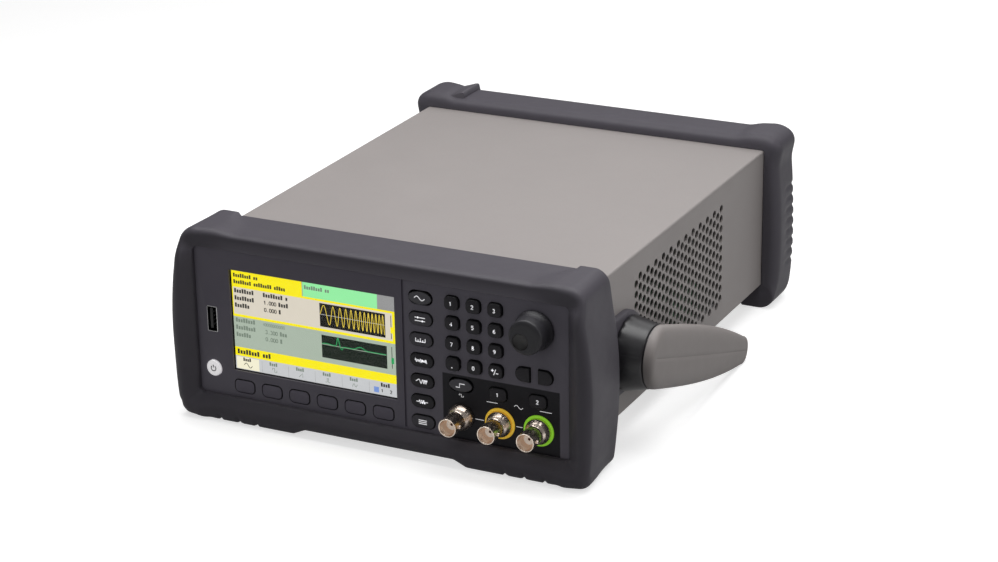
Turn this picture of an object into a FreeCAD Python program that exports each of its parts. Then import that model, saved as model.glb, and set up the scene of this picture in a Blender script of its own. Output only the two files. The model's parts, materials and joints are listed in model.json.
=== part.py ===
import FreeCAD, Part
import math
import os
import re
import Sketcher

# Bench function generator: a half-rack instrument with rubber bumpers and a swivel handle.
#
# Frame: millimetres, +Z up, the front looks along -Y, and the origin is the middle of the
# footprint on the bench.  Most pieces are drawn in case coordinates instead: x to the right,
# y backwards from the front panel's face, z up from the sleeve's underside.

SIZES = {
    # where case coordinates sit in the frame
    "panel_face_y": -135.4,
    "case_base_z": 14.0,
    # sheet-metal sleeve and chassis
    "case_width": 212.8,
    "case_height": 81.1,
    "sheet": 1.0,
    "sleeve_front": 3.2,
    "sleeve_back": 269.0,
    "sleeve_bend": 1.2,
    "vent_radius": 2.2,
    "vent_first_y": 79.0,
    "vent_first_z": 12.0,
    "vent_column_pitch": 5.04,
    "vent_row_pitch": 5.8,
    "tray_sheet": 1.2,
    "tray_front": 15.0,
    "tray_flange": 14.0,
    "standoff_radius": 3.0,
    # front panel, display and keypad
    "panel_thickness": 3.2,
    "panel_rim": 1.0,
    "panel_rim_back": 14.0,
    "divider_x": 15.0,
    "window_x": -37.85,
    "window_z": 42.3,
    "window_width": 96.1,
    "window_height": 55.6,
    "window_recess": 1.0,
    "window_ledge": 1.8,
    "window_thickness": 1.2,
    "display_width": 104.0,
    "display_height": 61.0,
    "membrane_front": 5.8,
    "membrane_back": 7.3,
    "keypad_back": 8.9,
    "key_gap": 0.35,
    "key_flange_front": 3.4,
    "key_flange_back": 4.4,
    "key_lip": 0.8,
    # keys
    "softkey_x": -79.6,
    "softkey_z": 6.15,
    "softkey_pitch": 16.34,
    "softkey_width": 11.8,
    "softkey_height": 7.1,
    "softkey_proud": 0.6,
    "function_x": 25.0,
    "function_z": 72.3,
    "function_pitch": 11.1,
    "function_width": 13.0,
    "function_height": 7.0,
    "function_proud": 1.2,
    "number_x": 42.7,
    "number_z": 72.6,
    "number_pitch_x": 11.8,
    "number_pitch_z": 10.73,
    "number_width": 7.6,
    "number_height": 7.0,
    "number_proud": 2.2,
    "arrow_z": 41.3,
    "arrow_height": 7.5,
    "arrow_left_x": 80.7,
    "arrow_right_x": 93.0,
    "arrow_width": 7.8,
    "arrow_proud": 1.6,
    "trigger_x": 46.6,
    "trigger_z": 29.4,
    "channel_width": 9.5,
    "channel_one_x": 67.0,
    "channel_two_x": 88.7,
    "channel_z": 28.0,
    "power_x": -97.8,
    "power_z": 13.7,
    "power_radius": 4.35,
    "power_proud": 1.0,
    # knob and its encoder
    "knob_x": 87.5,
    "knob_z": 65.5,
    "knob_base_radius": 10.4,
    "knob_face_radius": 9.0,
    "knob_length": 11.6,
    "knob_gap": 0.6,
    "shaft_radius": 2.95,
    "turning_gap": 0.05,
    "encoder_width": 12.5,
    "encoder_back": 15.4,
    # connectors
    "jack_x": 46.5,
    "jack_pitch": 21.2,
    "jack_z": 12.45,
    "jack_length": 16.2,
    "jack_barrel_radius": 4.85,
    "jack_flange_radius": 6.8,
    "jack_thread_radius": 5.6,
    "insulator_radius": 2.8,
    "insulator_depth": 4.7,
    "rear_jack_x": 62.0,
    "rear_jack_pitch": 24.0,
    "rear_jack_z": 52.0,
    "ring_radius": 8.2,
    "ring_thickness": 0.6,
    "usb_x": -97.2,
    "usb_z": 41.2,
    "usb_width": 6.0,
    "usb_height": 14.0,
    "usb_depth": 15.0,
    # bumpers
    "front_bumper_front": -7.0,
    "front_bumper_back": 32.0,
    "rear_bumper_front": 258.5,
    "rear_bumper_back": 287.0,
    "bumper_top": 88.0,
    "bumper_corner_top": 89.8,
    "bumper_corner_x": 97.0,
    "bumper_underside": -10.8,
    "foot_inner_x": 50.0,
    "bumper_side": 118.6,
    "bumper_side_z": 33.0,
    "bumper_side_top": 110.0,
    "bumper_side_low": 113.0,
    "rear_bumper_side": 116.4,
    "rear_bumper_side_z": 22.0,
    "rear_bumper_side_top": 112.4,
    "rear_bumper_side_low": 110.5,
    "bumper_top_round": 6.0,
    "bumper_low_round": 6.0,
    "bumper_edge_round": 3.5,
    "opening_width": 212.0,
    "opening_bottom": 0.0,
    "opening_top": 80.6,
    "opening_round": 2.5,
    "dish_depth": 4.4,
    "dish_width": 3.2,
    "rake_low": 66.0,
    "rake_high": 86.0,
    "rake_back": 1.0,
    "tongue_radius": 21.0,
    "tongue_face": 110.0,
    # swivel handle
    "handle_y": 60.0,
    "handle_z": 34.9,
    "handle_rest_angle": 19.2,
    "handle_barrel_radius": 19.6,
    "handle_barrel_end_radius": 16.6,
    "handle_barrel_face": 110.1,
    "handle_arm_face": 123.5,
    "handle_cover_face": 125.3,
    "handle_outer_face": 130.55,
    "handle_tip_face": 127.0,
    "handle_reach": 124.2,
    "handle_hub_half": 16.4,
    "handle_middle": 60.0,
    "handle_middle_half": 15.7,
    "handle_tip_radius": 8.0,
    "pivot_radius": 8.0,
    "pivot_head_radius": 11.0,
    "crossbar_long": 14.0,
    "crossbar_short": 8.0,
    "crossbar_drop": 0.9,
    "grip_skin": 0.9,
    "grip_half_length": 70.0,
    # rear panel, fan, mains and boards
    "rear_panel_thickness": 1.5,
    "fan_x": -5.0,
    "fan_z": 42.0,
    "fan_size": 60.0,
    "fan_depth": 15.0,
    "fan_bore": 28.5,
    "fan_hub_radius": 13.0,
    "fan_blade_tip": 26.0,
    "fan_screw_half": 25.0,
    "inlet_x": -74.0,
    "inlet_z": 26.0,
    "inlet_width": 28.0,
    "inlet_height": 21.0,
    "inlet_flange_width": 50.0,
    "inlet_screw_half": 20.0,
    "network_port_x": 52.0,
    "data_port_x": 76.0,
    "board_z": 8.0,
    "board_thickness": 1.6,
    "board_front": 30.0,
    "board_back": 262.0,
    "board_left": -42.0,
    "board_right": 100.0,
    "supply_width": 54.0,
    "supply_x": -73.0,
    "supply_front": 120.0,
    "supply_back": 236.0,
    "supply_height": 40.0,
    "screw_radius": 1.5,
    "screw_head_radius": 2.8,
    "screw_head_height": 1.6,
}

SOFTKEYS = 6
FUNCTION_KEYS = 7
VENT_COLUMNS = 24
VENT_ROWS = 10
FAN_BLADES = 7
LEFT, RIGHT = -1, 1
ORIGIN = FreeCAD.Vector(0, 0, 0)
NORMAL = FreeCAD.Vector(0, 0, 1)

doc = FreeCAD.newDocument("function_generator")
sheet = doc.addObject("Spreadsheet::Sheet", "dims")
for row, (alias, size) in enumerate(SIZES.items(), start=1):
    sheet.set(f"A{row}", alias)
    sheet.set(f"B{row}", str(size))
    sheet.setAlias(f"B{row}", alias)
doc.recompute()

nodes = []


# ---------------------------------------------------------------- expressions and sketches

def formula(text):
    """Turn sheet names in a formula into references to the spreadsheet."""
    def reference(name):
        return "dims." + name.group() if name.group() in SIZES else name.group()
    return re.sub(r"[a-z][a-z_]+", reference, str(text))


def value(text):
    """Number that a formula gives now."""
    return float(sheet.evalExpression(formula(text)))


def pin(sketch, constraint, text):
    """Add a dimension to a sketch and bind it to a formula."""
    index = sketch.addConstraint(constraint)
    sketch.setExpression(f"Constraints[{index}]", formula(text))


def pin_point(sketch, geometry, end, x, y):
    """Place one point of a sketch by formulas for its two coordinates."""
    pin(sketch, Sketcher.Constraint("DistanceX", -1, 1, geometry, end, value(x)), x)
    pin(sketch, Sketcher.Constraint("DistanceY", -1, 1, geometry, end, value(y)), y)


def disc(x, y, radius):
    """Circle about (x, y)."""
    def draw(sketch):
        centre = FreeCAD.Vector(value(x), value(y), 0)
        circle = sketch.addGeometry(Part.Circle(centre, NORMAL, value(radius)), False)
        pin_point(sketch, circle, 3, x, y)
        pin(sketch, Sketcher.Constraint("Radius", circle, value(radius)), radius)
    return draw


def arc_through(start, middle, end):
    """Counter-clockwise arc of the circle through three points, and whether it runs backwards."""
    circle = Part.Arc(start, middle, end).toShape().Curve
    centre = circle.Center
    first, via, last = (math.atan2(p.y - centre.y, p.x - centre.x) for p in (start, middle, end))
    turn = 2 * math.pi
    backwards = (via - first) % turn > (last - first) % turn
    if backwards:
        first, last = last, first
    if last < first:
        last += turn
    base = Part.Circle(FreeCAD.Vector(centre.x, centre.y, 0), NORMAL, circle.Radius)
    return Part.ArcOfCircle(base, first, last), backwards


def outline(*corners):
    """Closed loop through corners (x, y); a third and fourth value bow the next side out
    through that point."""
    def draw(sketch):
        ends = []
        for index, corner in enumerate(corners):
            following = corners[(index + 1) % len(corners)]
            start = FreeCAD.Vector(value(corner[0]), value(corner[1]), 0)
            end = FreeCAD.Vector(value(following[0]), value(following[1]), 0)
            if len(corner) == 2:
                side = sketch.addGeometry(Part.LineSegment(start, end), False)
                ends.append((side, 1, 2))
                continue
            via = FreeCAD.Vector(value(corner[2]), value(corner[3]), 0)
            arc, backwards = arc_through(start, via, end)
            side = sketch.addGeometry(arc, False)
            ends.append((side, 2, 1) if backwards else (side, 1, 2))
            marker = sketch.addGeometry(Part.Point(via), True)
            pin_point(sketch, marker, 1, corner[2], corner[3])
            sketch.addConstraint(Sketcher.Constraint("PointOnObject", marker, 1, side))
        for index, corner in enumerate(corners):
            side, first, last = ends[index]
            next_side, next_first, _ = ends[(index + 1) % len(corners)]
            sketch.addConstraint(Sketcher.Constraint("Coincident", side, last, next_side, next_first))
            pin_point(sketch, side, first, corner[0], corner[1])
    return draw


def box(x, y, width, height):
    """Rectangle centred on (x, y)."""
    left, right = f"{x} - ({width}) / 2", f"{x} + ({width}) / 2"
    low, high = f"{y} - ({height}) / 2", f"{y} + ({height}) / 2"
    return outline((left, low), (right, low), (right, high), (left, high))


def soft_box(x, y, width, height, radius):
    """Rectangle centred on (x, y) with round corners."""
    left, right = f"{x} - ({width}) / 2", f"{x} + ({width}) / 2"
    low, high = f"{y} - ({height}) / 2", f"{y} + ({height}) / 2"
    radius = f"({radius})"
    reach = f"{radius} * {1 - math.sqrt(0.5):.6f}"
    return outline(
        (f"{left} + {radius}", low),
        (f"{right} - {radius}", low, f"{right} - {reach}", f"{low} + {reach}"),
        (right, f"{low} + {radius}"),
        (right, f"{high} - {radius}", f"{right} - {reach}", f"{high} - {reach}"),
        (f"{right} - {radius}", high),
        (f"{left} + {radius}", high, f"{left} + {reach}", f"{high} - {reach}"),
        (left, f"{high} - {radius}"),
        (left, f"{low} + {radius}", f"{left} + {reach}", f"{low} + {reach}"))


# ---------------------------------------------------------------- one sub-part

class Piece:
    """A PartDesign body whose features are drawn in case coordinates, or about a place of its own."""

    def __init__(self, label, x="0", y="0", z="0"):
        self.label = label
        self.body = doc.addObject("PartDesign::Body", label)
        self.body.Label = label
        self.features = {feature.Role: feature for feature in self.body.Origin.OriginFeatures}
        self.place(self.body, x, y, z)

    @staticmethod
    def place(thing, x, y, z):
        """Bind a sub-part's placement to its place in case coordinates."""
        thing.setExpression("Placement.Base.x", formula(x))
        thing.setExpression("Placement.Base.y", formula(f"panel_face_y + {y}"))
        thing.setExpression("Placement.Base.z", formula(f"case_base_z + {z}"))

    def sketch(self, axis, level, loops):
        """Sketch across one axis, at a level along it."""
        plane = {"x": "YZ_Plane", "y": "XZ_Plane", "z": "XY_Plane"}[axis]
        number = len(self.body.Group)
        sketch = self.body.newObject("Sketcher::SketchObject", f"{self.label}_sketch_{number}")
        sketch.AttachmentSupport = [(self.features[plane], "")]
        sketch.MapMode = "FlatFace"
        towards_front = "-1 *" if axis == "y" else "1 *"
        sketch.setExpression("AttachmentOffset.Base.z", formula(f"{towards_front} ({level})"))
        for loop in loops:
            loop(sketch)
        return sketch

    def run(self, kind, axis, low, high, loops):
        """Pad or pocket between two levels along an axis."""
        feature = self.body.newObject(f"PartDesign::{kind}", f"{self.label}_{kind.lower()}")
        feature.Profile = self.sketch(axis, low, loops)
        self.body.Tip = feature
        feature.setExpression("Length", formula(f"({high}) - ({low})"))
        feature.Reversed = (axis == "y") == (kind == "Pad")
        feature.Profile[0].Visibility = False
        return feature

    def add(self, axis, low, high, *loops):
        """Pad the loops from one level to another."""
        return self.run("Pad", axis, low, high, loops)

    def cut(self, axis, low, high, *loops):
        """Pocket the loops from one level to another."""
        return self.run("Pocket", axis, low, high, loops)

    def repeat(self, feature, *runs):
        """Repeat a feature along one or two axes, each given as (axis, count, whole length)."""
        pattern = self.body.newObject("PartDesign::LinearPattern", f"{self.label}_pattern")
        pattern.Originals = [feature]
        for suffix, (axis, count, length) in zip(("", "2"), runs):
            setattr(pattern, f"Direction{suffix}", (self.features[f"{axis}_Axis"], [""]))
            setattr(pattern, f"Occurrences{suffix}", count)
            pattern.setExpression(f"Length{suffix}", formula(length))
        self.body.Tip = pattern
        return pattern

    def spin(self, axis, *loops):
        """Revolve loops drawn in the XY plane about the sub-part's own X or Y axis."""
        feature = self.body.newObject("PartDesign::Revolution", f"{self.label}_revolution")
        feature.Profile = self.sketch("z", "0", loops)
        feature.ReferenceAxis = (feature.Profile[0], [{"x": "H_Axis", "y": "V_Axis"}[axis]])
        feature.Angle = 360
        self.body.Tip = feature
        return feature

    def round(self, radius, chosen):
        """Fillet the edges that a test picks out."""
        doc.recompute()
        base = self.body.Tip
        names = [f"Edge{i}" for i, edge in enumerate(base.Shape.Edges, start=1) if chosen(edge)]
        fillet = self.body.newObject("PartDesign::Fillet", f"{self.label}_fillet")
        fillet.Base = (base, names)
        fillet.setExpression("Radius", formula(radius))
        self.body.Tip = fillet
        return fillet

    def dish(self, width, depth, chosen):
        """Bevel the edges that a test picks out, so far across the face and so deep."""
        doc.recompute()
        base = self.body.Tip
        names = [f"Edge{i}" for i, edge in enumerate(base.Shape.Edges, start=1) if chosen(edge)]
        bevel = self.body.newObject("PartDesign::Chamfer", f"{self.label}_dish")
        bevel.Base = (base, names)
        bevel.ChamferType = "Two distances"
        bevel.setExpression("Size", formula(width))
        bevel.setExpression("Size2", formula(depth))
        self.body.Tip = bevel
        return bevel

    def finish(self):
        """Hand the body in as one node of its own."""
        nodes.append(self.body)
        return self.body


def runs_along(axis):
    """Test for straight edges along an axis."""
    def chosen(edge):
        if not isinstance(edge.Curve, Part.Line):
            return False
        return abs(getattr(edge.Curve.Direction, axis)) > 0.999
    return chosen


def group(label, *members):
    """One node that holds several separate solids."""
    bundle = doc.addObject("Part::Compound", label)
    bundle.Label = label
    bundle.Links = list(members)
    nodes.append(bundle)
    return bundle


# ---------------------------------------------------------------- places that repeat

def softkey_places():
    """Centres of the keys under the screen."""
    return [(f"softkey_x + {i} * softkey_pitch", "softkey_z") for i in range(SOFTKEYS)]


def function_places():
    """Centres of the column of function keys."""
    return [("function_x", f"function_z - {i} * function_pitch") for i in range(FUNCTION_KEYS)]


def number_places():
    """Centres of the number pad, row by row from the top."""
    return [(f"number_x + {column} * number_pitch_x", f"number_z - {row} * number_pitch_z")
            for row in range(4) for column in range(3)]


def board_screw_places():
    """Screws that hold the main board on its standoffs."""
    return [(x, y) for x in ("board_left + 6", "board_right - 6")
            for y in ("board_front + 6", "(board_front + board_back) / 2", "board_back - 6")]


def rear_screw_places():
    """Screws along the foot of the rear panel."""
    return [(x, "6.2") for x in ("-99", "-38", "38", "99")]


def fan_screw_places():
    """Screws at the fan's corners."""
    return [(f"fan_x + {i} * fan_screw_half", f"fan_z + {j} * fan_screw_half")
            for i in (LEFT, RIGHT) for j in (LEFT, RIGHT)]


def inlet_screw_places():
    """Screws either side of the mains inlet."""
    return [(f"inlet_x + {i} * inlet_screw_half", "inlet_z") for i in (LEFT, RIGHT)]


def sleeve_screw_places():
    """Screws that hold the sleeve to the tray from below."""
    return [(x, y) for x in ("-92", "92") for y in ("100", "248")]


def front_jack_places():
    """Front connectors: trigger, channel 1, channel 2."""
    return [(f"jack_x + {i} * jack_pitch", "jack_z") for i in range(3)]


def rear_jack_places():
    """Rear connectors for the reference clock and the modulation input."""
    return [(f"rear_jack_x + {i} * rear_jack_pitch", "rear_jack_z") for i in range(2)]


def mirrored(side, near, far):
    """Low and high levels of a span along X on one side of the case."""
    return (near, far) if side == RIGHT else (f"-1 * ({far})", f"-1 * ({near})")


# ---------------------------------------------------------------- casing

def case_outline(inset="0"):
    """The sleeve's section, or a parallel of it further in."""
    return soft_box("0", "case_height / 2", f"case_width - 2 * ({inset})",
                    f"case_height - 2 * ({inset})", f"sleeve_bend - {inset}")


def bumper_outline(side, side_z, side_top, side_low):
    """Bowed section of a bumper, with raised corners and two feet."""
    foot = "-1 * case_base_z"
    return outline(
        ("bumper_corner_x", "bumper_top"),
        ("bumper_corner_x + 3", "bumper_corner_top"),
        (side_top, "bumper_corner_top", side, side_z),
        (side_low, foot),
        ("foot_inner_x", foot),
        ("foot_inner_x - 2", "bumper_underside"),
        ("2 - foot_inner_x", "bumper_underside"),
        ("-foot_inner_x", foot),
        (f"-{side_low}", foot, f"-{side}", side_z),
        (f"-{side_top}", "bumper_corner_top"),
        ("-bumper_corner_x - 3", "bumper_corner_top"),
        ("-bumper_corner_x", "bumper_top"))


def bumper(label, front, back, shape):
    """Solid bumper with its four long corners rounded."""
    piece = Piece(label)
    piece.add("y", front, back, shape)
    wide = value("bumper_side_top") - 2
    high = runs_along("y")
    piece.round("bumper_top_round", lambda edge: high(edge)
                and abs(edge.CenterOfMass.x) > wide and edge.CenterOfMass.z > 0)
    piece.round("bumper_low_round", lambda edge: high(edge)
                and abs(edge.CenterOfMass.x) > wide and edge.CenterOfMass.z < 0)
    return piece


def soften_rim(piece, level):
    """Round the outer rim of a bumper at one end."""
    def on_rim(edge):
        return edge.BoundBox.YLength < 0.01 and abs(edge.CenterOfMass.y - value(level)) < 0.01
    piece.round("bumper_edge_round", on_rim)


def opening_outline():
    """Window of a bumper through which a panel shows."""
    return soft_box("0", "(opening_bottom + opening_top) / 2", "opening_width",
                    "opening_top - opening_bottom", "opening_round")


def opening_rim(edge):
    """Test for the edges where the opening meets the front bumper's face."""
    centre = edge.CenterOfMass
    flat = edge.BoundBox.YLength < 0.01 and abs(centre.y - value("front_bumper_front")) < 0.01
    half = value("opening_width") / 2
    inside = abs(centre.x) < half + 0.01
    return flat and inside and value("opening_bottom") - 0.01 < centre.z < value("opening_top") + 0.01


def make_front_bumper():
    piece = bumper("front_bumper", "front_bumper_front", "front_bumper_back", bumper_outline(
        "bumper_side", "bumper_side_z", "bumper_side_top", "bumper_side_low"))
    soften_rim(piece, "front_bumper_front")
    tongue = outline(
        ("20", "handle_z - tongue_radius"),
        ("handle_y", "handle_z - tongue_radius", "handle_y + tongue_radius", "handle_z"),
        ("handle_y", "handle_z + tongue_radius"),
        ("20", "handle_z + tongue_radius"))
    for side in (LEFT, RIGHT):
        piece.add("x", *mirrored(side, "case_width / 2", "tongue_face"), tongue)
    piece.cut("y", "front_bumper_front", "0", opening_outline())
    piece.dish("dish_width", "dish_depth", opening_rim)
    ahead, above = "front_bumper_front - 1", "bumper_corner_top + 1"
    piece.cut("x", "-bumper_side - 2", "bumper_side + 2", outline(
        (ahead, "rake_low"), ("front_bumper_front", "rake_low"), ("rake_back", "rake_high"),
        ("rake_back", above), (ahead, above)))
    piece.cut("y", "0", "front_bumper_back", case_outline())
    piece.cut("x", "-tongue_face", "tongue_face", disc("handle_y", "handle_z", "pivot_radius"))
    piece.finish()


def make_rear_bumper():
    piece = bumper("rear_bumper", "rear_bumper_front", "rear_bumper_back", bumper_outline(
        "rear_bumper_side", "rear_bumper_side_z", "rear_bumper_side_top", "rear_bumper_side_low"))
    soften_rim(piece, "rear_bumper_back")
    panel_back = "sleeve_back + rear_panel_thickness"
    piece.cut("y", "rear_bumper_front", panel_back, case_outline())
    piece.cut("y", panel_back, "rear_bumper_back", opening_outline())
    piece.finish()


def make_case_sleeve():
    piece = Piece("case_sleeve")
    piece.add("y", "sleeve_front", "sleeve_back", case_outline())
    piece.cut("y", "sleeve_front", "sleeve_back", case_outline("sheet"))
    piece.cut("x", "-case_width", "case_width", disc("handle_y", "handle_z", "pivot_radius"))
    piece.cut("z", "-sheet", "2 * sheet", *[disc(x, y, "screw_radius") for x, y in sleeve_screw_places()])
    for stagger in (0, 1):
        column = disc(f"vent_first_y + {stagger} * vent_column_pitch",
                      f"vent_first_z + {stagger} * vent_row_pitch / 2", "vent_radius")
        first = piece.cut("x", "-case_width", "case_width", column)
        piece.repeat(first, ("Y", VENT_COLUMNS // 2, f"{VENT_COLUMNS - 2} * vent_column_pitch"),
                     ("Z", VENT_ROWS, f"{VENT_ROWS - 1} * vent_row_pitch"))
    piece.finish()


def make_chassis_tray():
    piece = Piece("chassis_tray")
    floor, top = "sheet", "sheet + tray_sheet"
    edge = "(case_width / 2 - sheet - 0.6)"
    piece.add("y", "tray_front", "sleeve_back", outline(
        (f"-{edge}", floor), (edge, floor), (edge, "tray_flange"),
        (f"{edge} - tray_sheet", "tray_flange"), (f"{edge} - tray_sheet", top),
        (f"tray_sheet - {edge}", top), (f"tray_sheet - {edge}", "tray_flange"),
        (f"-{edge}", "tray_flange")))
    piece.add("z", top, "board_z", *[disc(x, y, "standoff_radius") for x, y in board_screw_places()])
    piece.cut("z", top, "board_z", *[disc(x, y, "screw_radius") for x, y in board_screw_places()])
    post = [box(x, "(sheet + tray_sheet + 10.2) / 2", "8", "10.2 - sheet - tray_sheet")
            for x, _ in rear_screw_places()]
    piece.add("y", "sleeve_back - 6.5", "sleeve_back", *post)
    piece.cut("y", "sleeve_back - 6.5", "sleeve_back",
              *[disc(x, z, "screw_radius") for x, z in rear_screw_places()])
    piece.cut("z", floor, top, *[disc(x, y, "screw_radius") for x, y in sleeve_screw_places()])
    piece.finish()


# ---------------------------------------------------------------- front panel and keypad

def arrow_outline(x, side, grow="0"):
    """Arrow key: straight on the inside, round on the outside."""
    width, half = f"(arrow_width + 2 * ({grow}))", f"(arrow_height / 2 + {grow})"
    inner = f"{x} - {side} * {width} / 2"
    shoulder = f"{x} + {side} * ({width} / 2 - {half})"
    tip = f"{x} + {side} * {width} / 2"
    return outline((inner, f"arrow_z - {half}"),
                   (shoulder, f"arrow_z - {half}", tip, "arrow_z"),
                   (shoulder, f"arrow_z + {half}"),
                   (inner, f"arrow_z + {half}"))


def key_opening(place, width, height, radius):
    """Opening in the panel for one key."""
    return soft_box(*place, f"{width} + 2 * key_gap", f"{height} + 2 * key_gap", f"{radius} + key_gap")


def wide_key_opening(x, z):
    return key_opening((x, z), "function_width", "function_height", "function_height / 2 - 0.1")


def make_front_panel():
    piece = Piece("front_panel")
    piece.add("y", "0", "panel_thickness", case_outline())
    piece.add("y", "panel_thickness", "panel_rim_back", case_outline("sheet"))
    piece.cut("y", "panel_thickness", "panel_rim_back", box(
        "0", "case_height / 2", "case_width - 2 * sheet - 2 * panel_rim",
        "case_height - 2 * sheet - 2 * panel_rim"))
    piece.cut("y", "0", "window_recess", box("window_x", "window_z", "window_width", "window_height"))
    piece.cut("y", "window_recess", "panel_thickness", window_outline())
    softkey = piece.cut("y", "0", "panel_thickness", key_opening(
        softkey_places()[0], "softkey_width", "softkey_height", "2.5"))
    piece.repeat(softkey, ("X", SOFTKEYS, f"{SOFTKEYS - 1} * softkey_pitch"))
    function = piece.cut("y", "0", "panel_thickness", wide_key_opening(*function_places()[-1]))
    piece.repeat(function, ("Z", FUNCTION_KEYS, f"{FUNCTION_KEYS - 1} * function_pitch"))
    number = piece.cut("y", "0", "panel_thickness", key_opening(
        number_places()[9], "number_width", "number_height", "2.4"))
    piece.repeat(number, ("X", 3, "2 * number_pitch_x"), ("Z", 4, "3 * number_pitch_z"))
    piece.cut("y", "0", "panel_thickness",
              wide_key_opening("trigger_x", "trigger_z"),
              key_opening(("channel_one_x", "channel_z"), "channel_width", "function_height", "2.4"),
              key_opening(("channel_two_x", "channel_z"), "channel_width", "function_height", "2.4"),
              arrow_outline("arrow_left_x", LEFT, "key_gap"),
              arrow_outline("arrow_right_x", RIGHT, "key_gap"),
              disc("power_x", "power_z", "power_radius + key_gap"),
              disc("knob_x", "knob_z", "shaft_radius + 0.65"),
              box("usb_x", "usb_z", "usb_width", "usb_height"),
              *[disc(x, z, "jack_thread_radius") for x, z in front_jack_places()])
    piece.cut("y", "0", "0.8", box("divider_x", "case_height / 2", "1.2", "case_height - 1.6"))
    piece.finish()


def window_outline(inset="0"):
    """The window and the seat that holds it behind the panel's ledge."""
    overlap = f"2 * (window_ledge - {inset})"
    return box("window_x", "window_z", f"window_width + {overlap}", f"window_height + {overlap}")


def make_display():
    window = Piece("display_window")
    window_back = "window_recess + window_thickness"
    window.add("y", "window_recess", window_back, window_outline())
    window.finish()
    module = Piece("display_module")
    module.add("y", window_back, "panel_thickness", window_outline("0.1"))
    module.add("y", "panel_thickness", "keypad_back",
               box("window_x", "window_z", "display_width", "display_height"))
    module.finish()


def make_keypad_membrane():
    piece = Piece("keypad_membrane")
    piece.add("y", "membrane_front", "membrane_back", outline(
        ("-90", "2.4"), ("33", "2.4"), ("33", "22.6"), ("103", "22.6"),
        ("103", "78"), ("16", "78"), ("16", "11"), ("-90", "11")))
    piece.cut("y", "membrane_front", "membrane_back", disc("knob_x", "knob_z", "9"))
    piece.finish()


def make_keypad_board():
    piece = Piece("keypad_board")
    piece.add("y", "membrane_back", "keypad_back", outline(
        ("-104", "2.4"), ("33", "2.4"), ("33", "22.6"), ("103", "22.6"),
        ("103", "78"), ("16", "78"), ("16", "11"), ("-91", "11"), ("-91", "60"), ("-104", "60")))
    piece.cut("y", "membrane_back", "keypad_back", disc("knob_x", "knob_z", "4"),
              box("usb_x", "usb_z", "usb_width", "usb_height"))
    piece.finish()


def make_key(label, place, cap, flange, proud):
    """A key: a cap through the panel and a flange that keeps it in."""
    piece = Piece(label, place[0], "0", place[1])
    piece.add("y", f"-{proud}", "key_flange_front", cap)
    piece.round("0.5", lambda edge: edge.BoundBox.YMax < -value(proud) + 0.01)
    piece.add("y", "key_flange_front", "key_flange_back", flange)
    piece.finish()


def make_soft_key(label, place, width, height, radius, proud, lip_above="key_lip"):
    cap = soft_box("0", "0", width, height, radius)
    flange = soft_box("0", "0", f"{width} + 2 * key_lip", f"{height} + 2 * {lip_above}", radius)
    make_key(label, place, cap, flange, proud)


def make_keys():
    for i, place in enumerate(softkey_places(), start=1):
        make_soft_key(f"softkey_{i}", place, "softkey_width", "softkey_height", "2.5",
                      "softkey_proud", "0")
    names = ("waveform", "parameter", "units", "modulate", "sweep", "burst", "system")
    wide = ("function_width", "function_height", "function_height / 2 - 0.1", "function_proud", "0")
    for name, place in zip(names, function_places()):
        make_soft_key(f"{name}_key", place, *wide)
    make_soft_key("trigger_key", ("trigger_x", "trigger_z"), *wide)
    digits = ("number_key_1", "number_key_2", "number_key_3",
              "number_key_4", "number_key_5", "number_key_6",
              "number_key_7", "number_key_8", "number_key_9",
              "point_key", "number_key_0", "sign_key")
    for name, place in zip(digits, number_places()):
        make_soft_key(name, place, "number_width", "number_height", "2.4", "number_proud")
    for number, x in ((1, "channel_one_x"), (2, "channel_two_x")):
        make_soft_key(f"channel_{number}_key", (x, "channel_z"), "channel_width",
                      "function_height", "2.4", "function_proud")
    for name, x, side in (("left", "arrow_left_x", LEFT), ("right", "arrow_right_x", RIGHT)):
        make_arrow_key(f"{name}_arrow_key", x, side)
    make_key("power_button", ("power_x", "power_z"), disc("0", "0", "power_radius"),
             disc("0", "0", "power_radius + key_lip"), "power_proud")


def make_arrow_key(label, x, side):
    piece = Piece(label)
    piece.add("y", "-arrow_proud", "key_flange_front", arrow_outline(x, side))
    piece.round("0.5", lambda edge: edge.BoundBox.YMax < -value("arrow_proud") + 0.01)
    piece.add("y", "key_flange_front", "key_flange_back", arrow_outline(x, side, "key_lip"))
    piece.finish()


def make_knob():
    knob = Piece("tuning_knob", "knob_x", "0", "knob_z")
    back, face = "-knob_gap", "-knob_gap - knob_length"
    seat = f"{face} + 2"
    knob.spin("y", outline(
        ("shaft_radius", back), ("knob_base_radius", back), ("knob_base_radius", f"{back} - 2"),
        ("knob_face_radius", f"{face} + 1"), ("knob_face_radius - 1", face),
        ("0", face), ("0", seat), ("shaft_radius", seat)))
    knob.cut("y", face, f"{face} + 1.2", disc("-2.2", "-2.2", "4.2"))
    knob.finish()
    shaft = Piece("encoder_shaft", "knob_x", "0", "knob_z")
    shaft.add("y", seat, "encoder_back - 1.1", disc("0", "0", "shaft_radius"))
    shaft.finish()
    encoder = Piece("rotary_encoder", "knob_x", "0", "knob_z")
    encoder.add("y", "panel_thickness + 0.2", "keypad_back", disc("0", "0", "4"))
    encoder.add("y", "keypad_back", "encoder_back", box("0", "0", "encoder_width", "encoder_width"))
    encoder.cut("y", "panel_thickness + 0.2", "encoder_back - 1",
                disc("0", "0", "shaft_radius + turning_gap"))
    encoder.finish()


# ---------------------------------------------------------------- connectors

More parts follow.
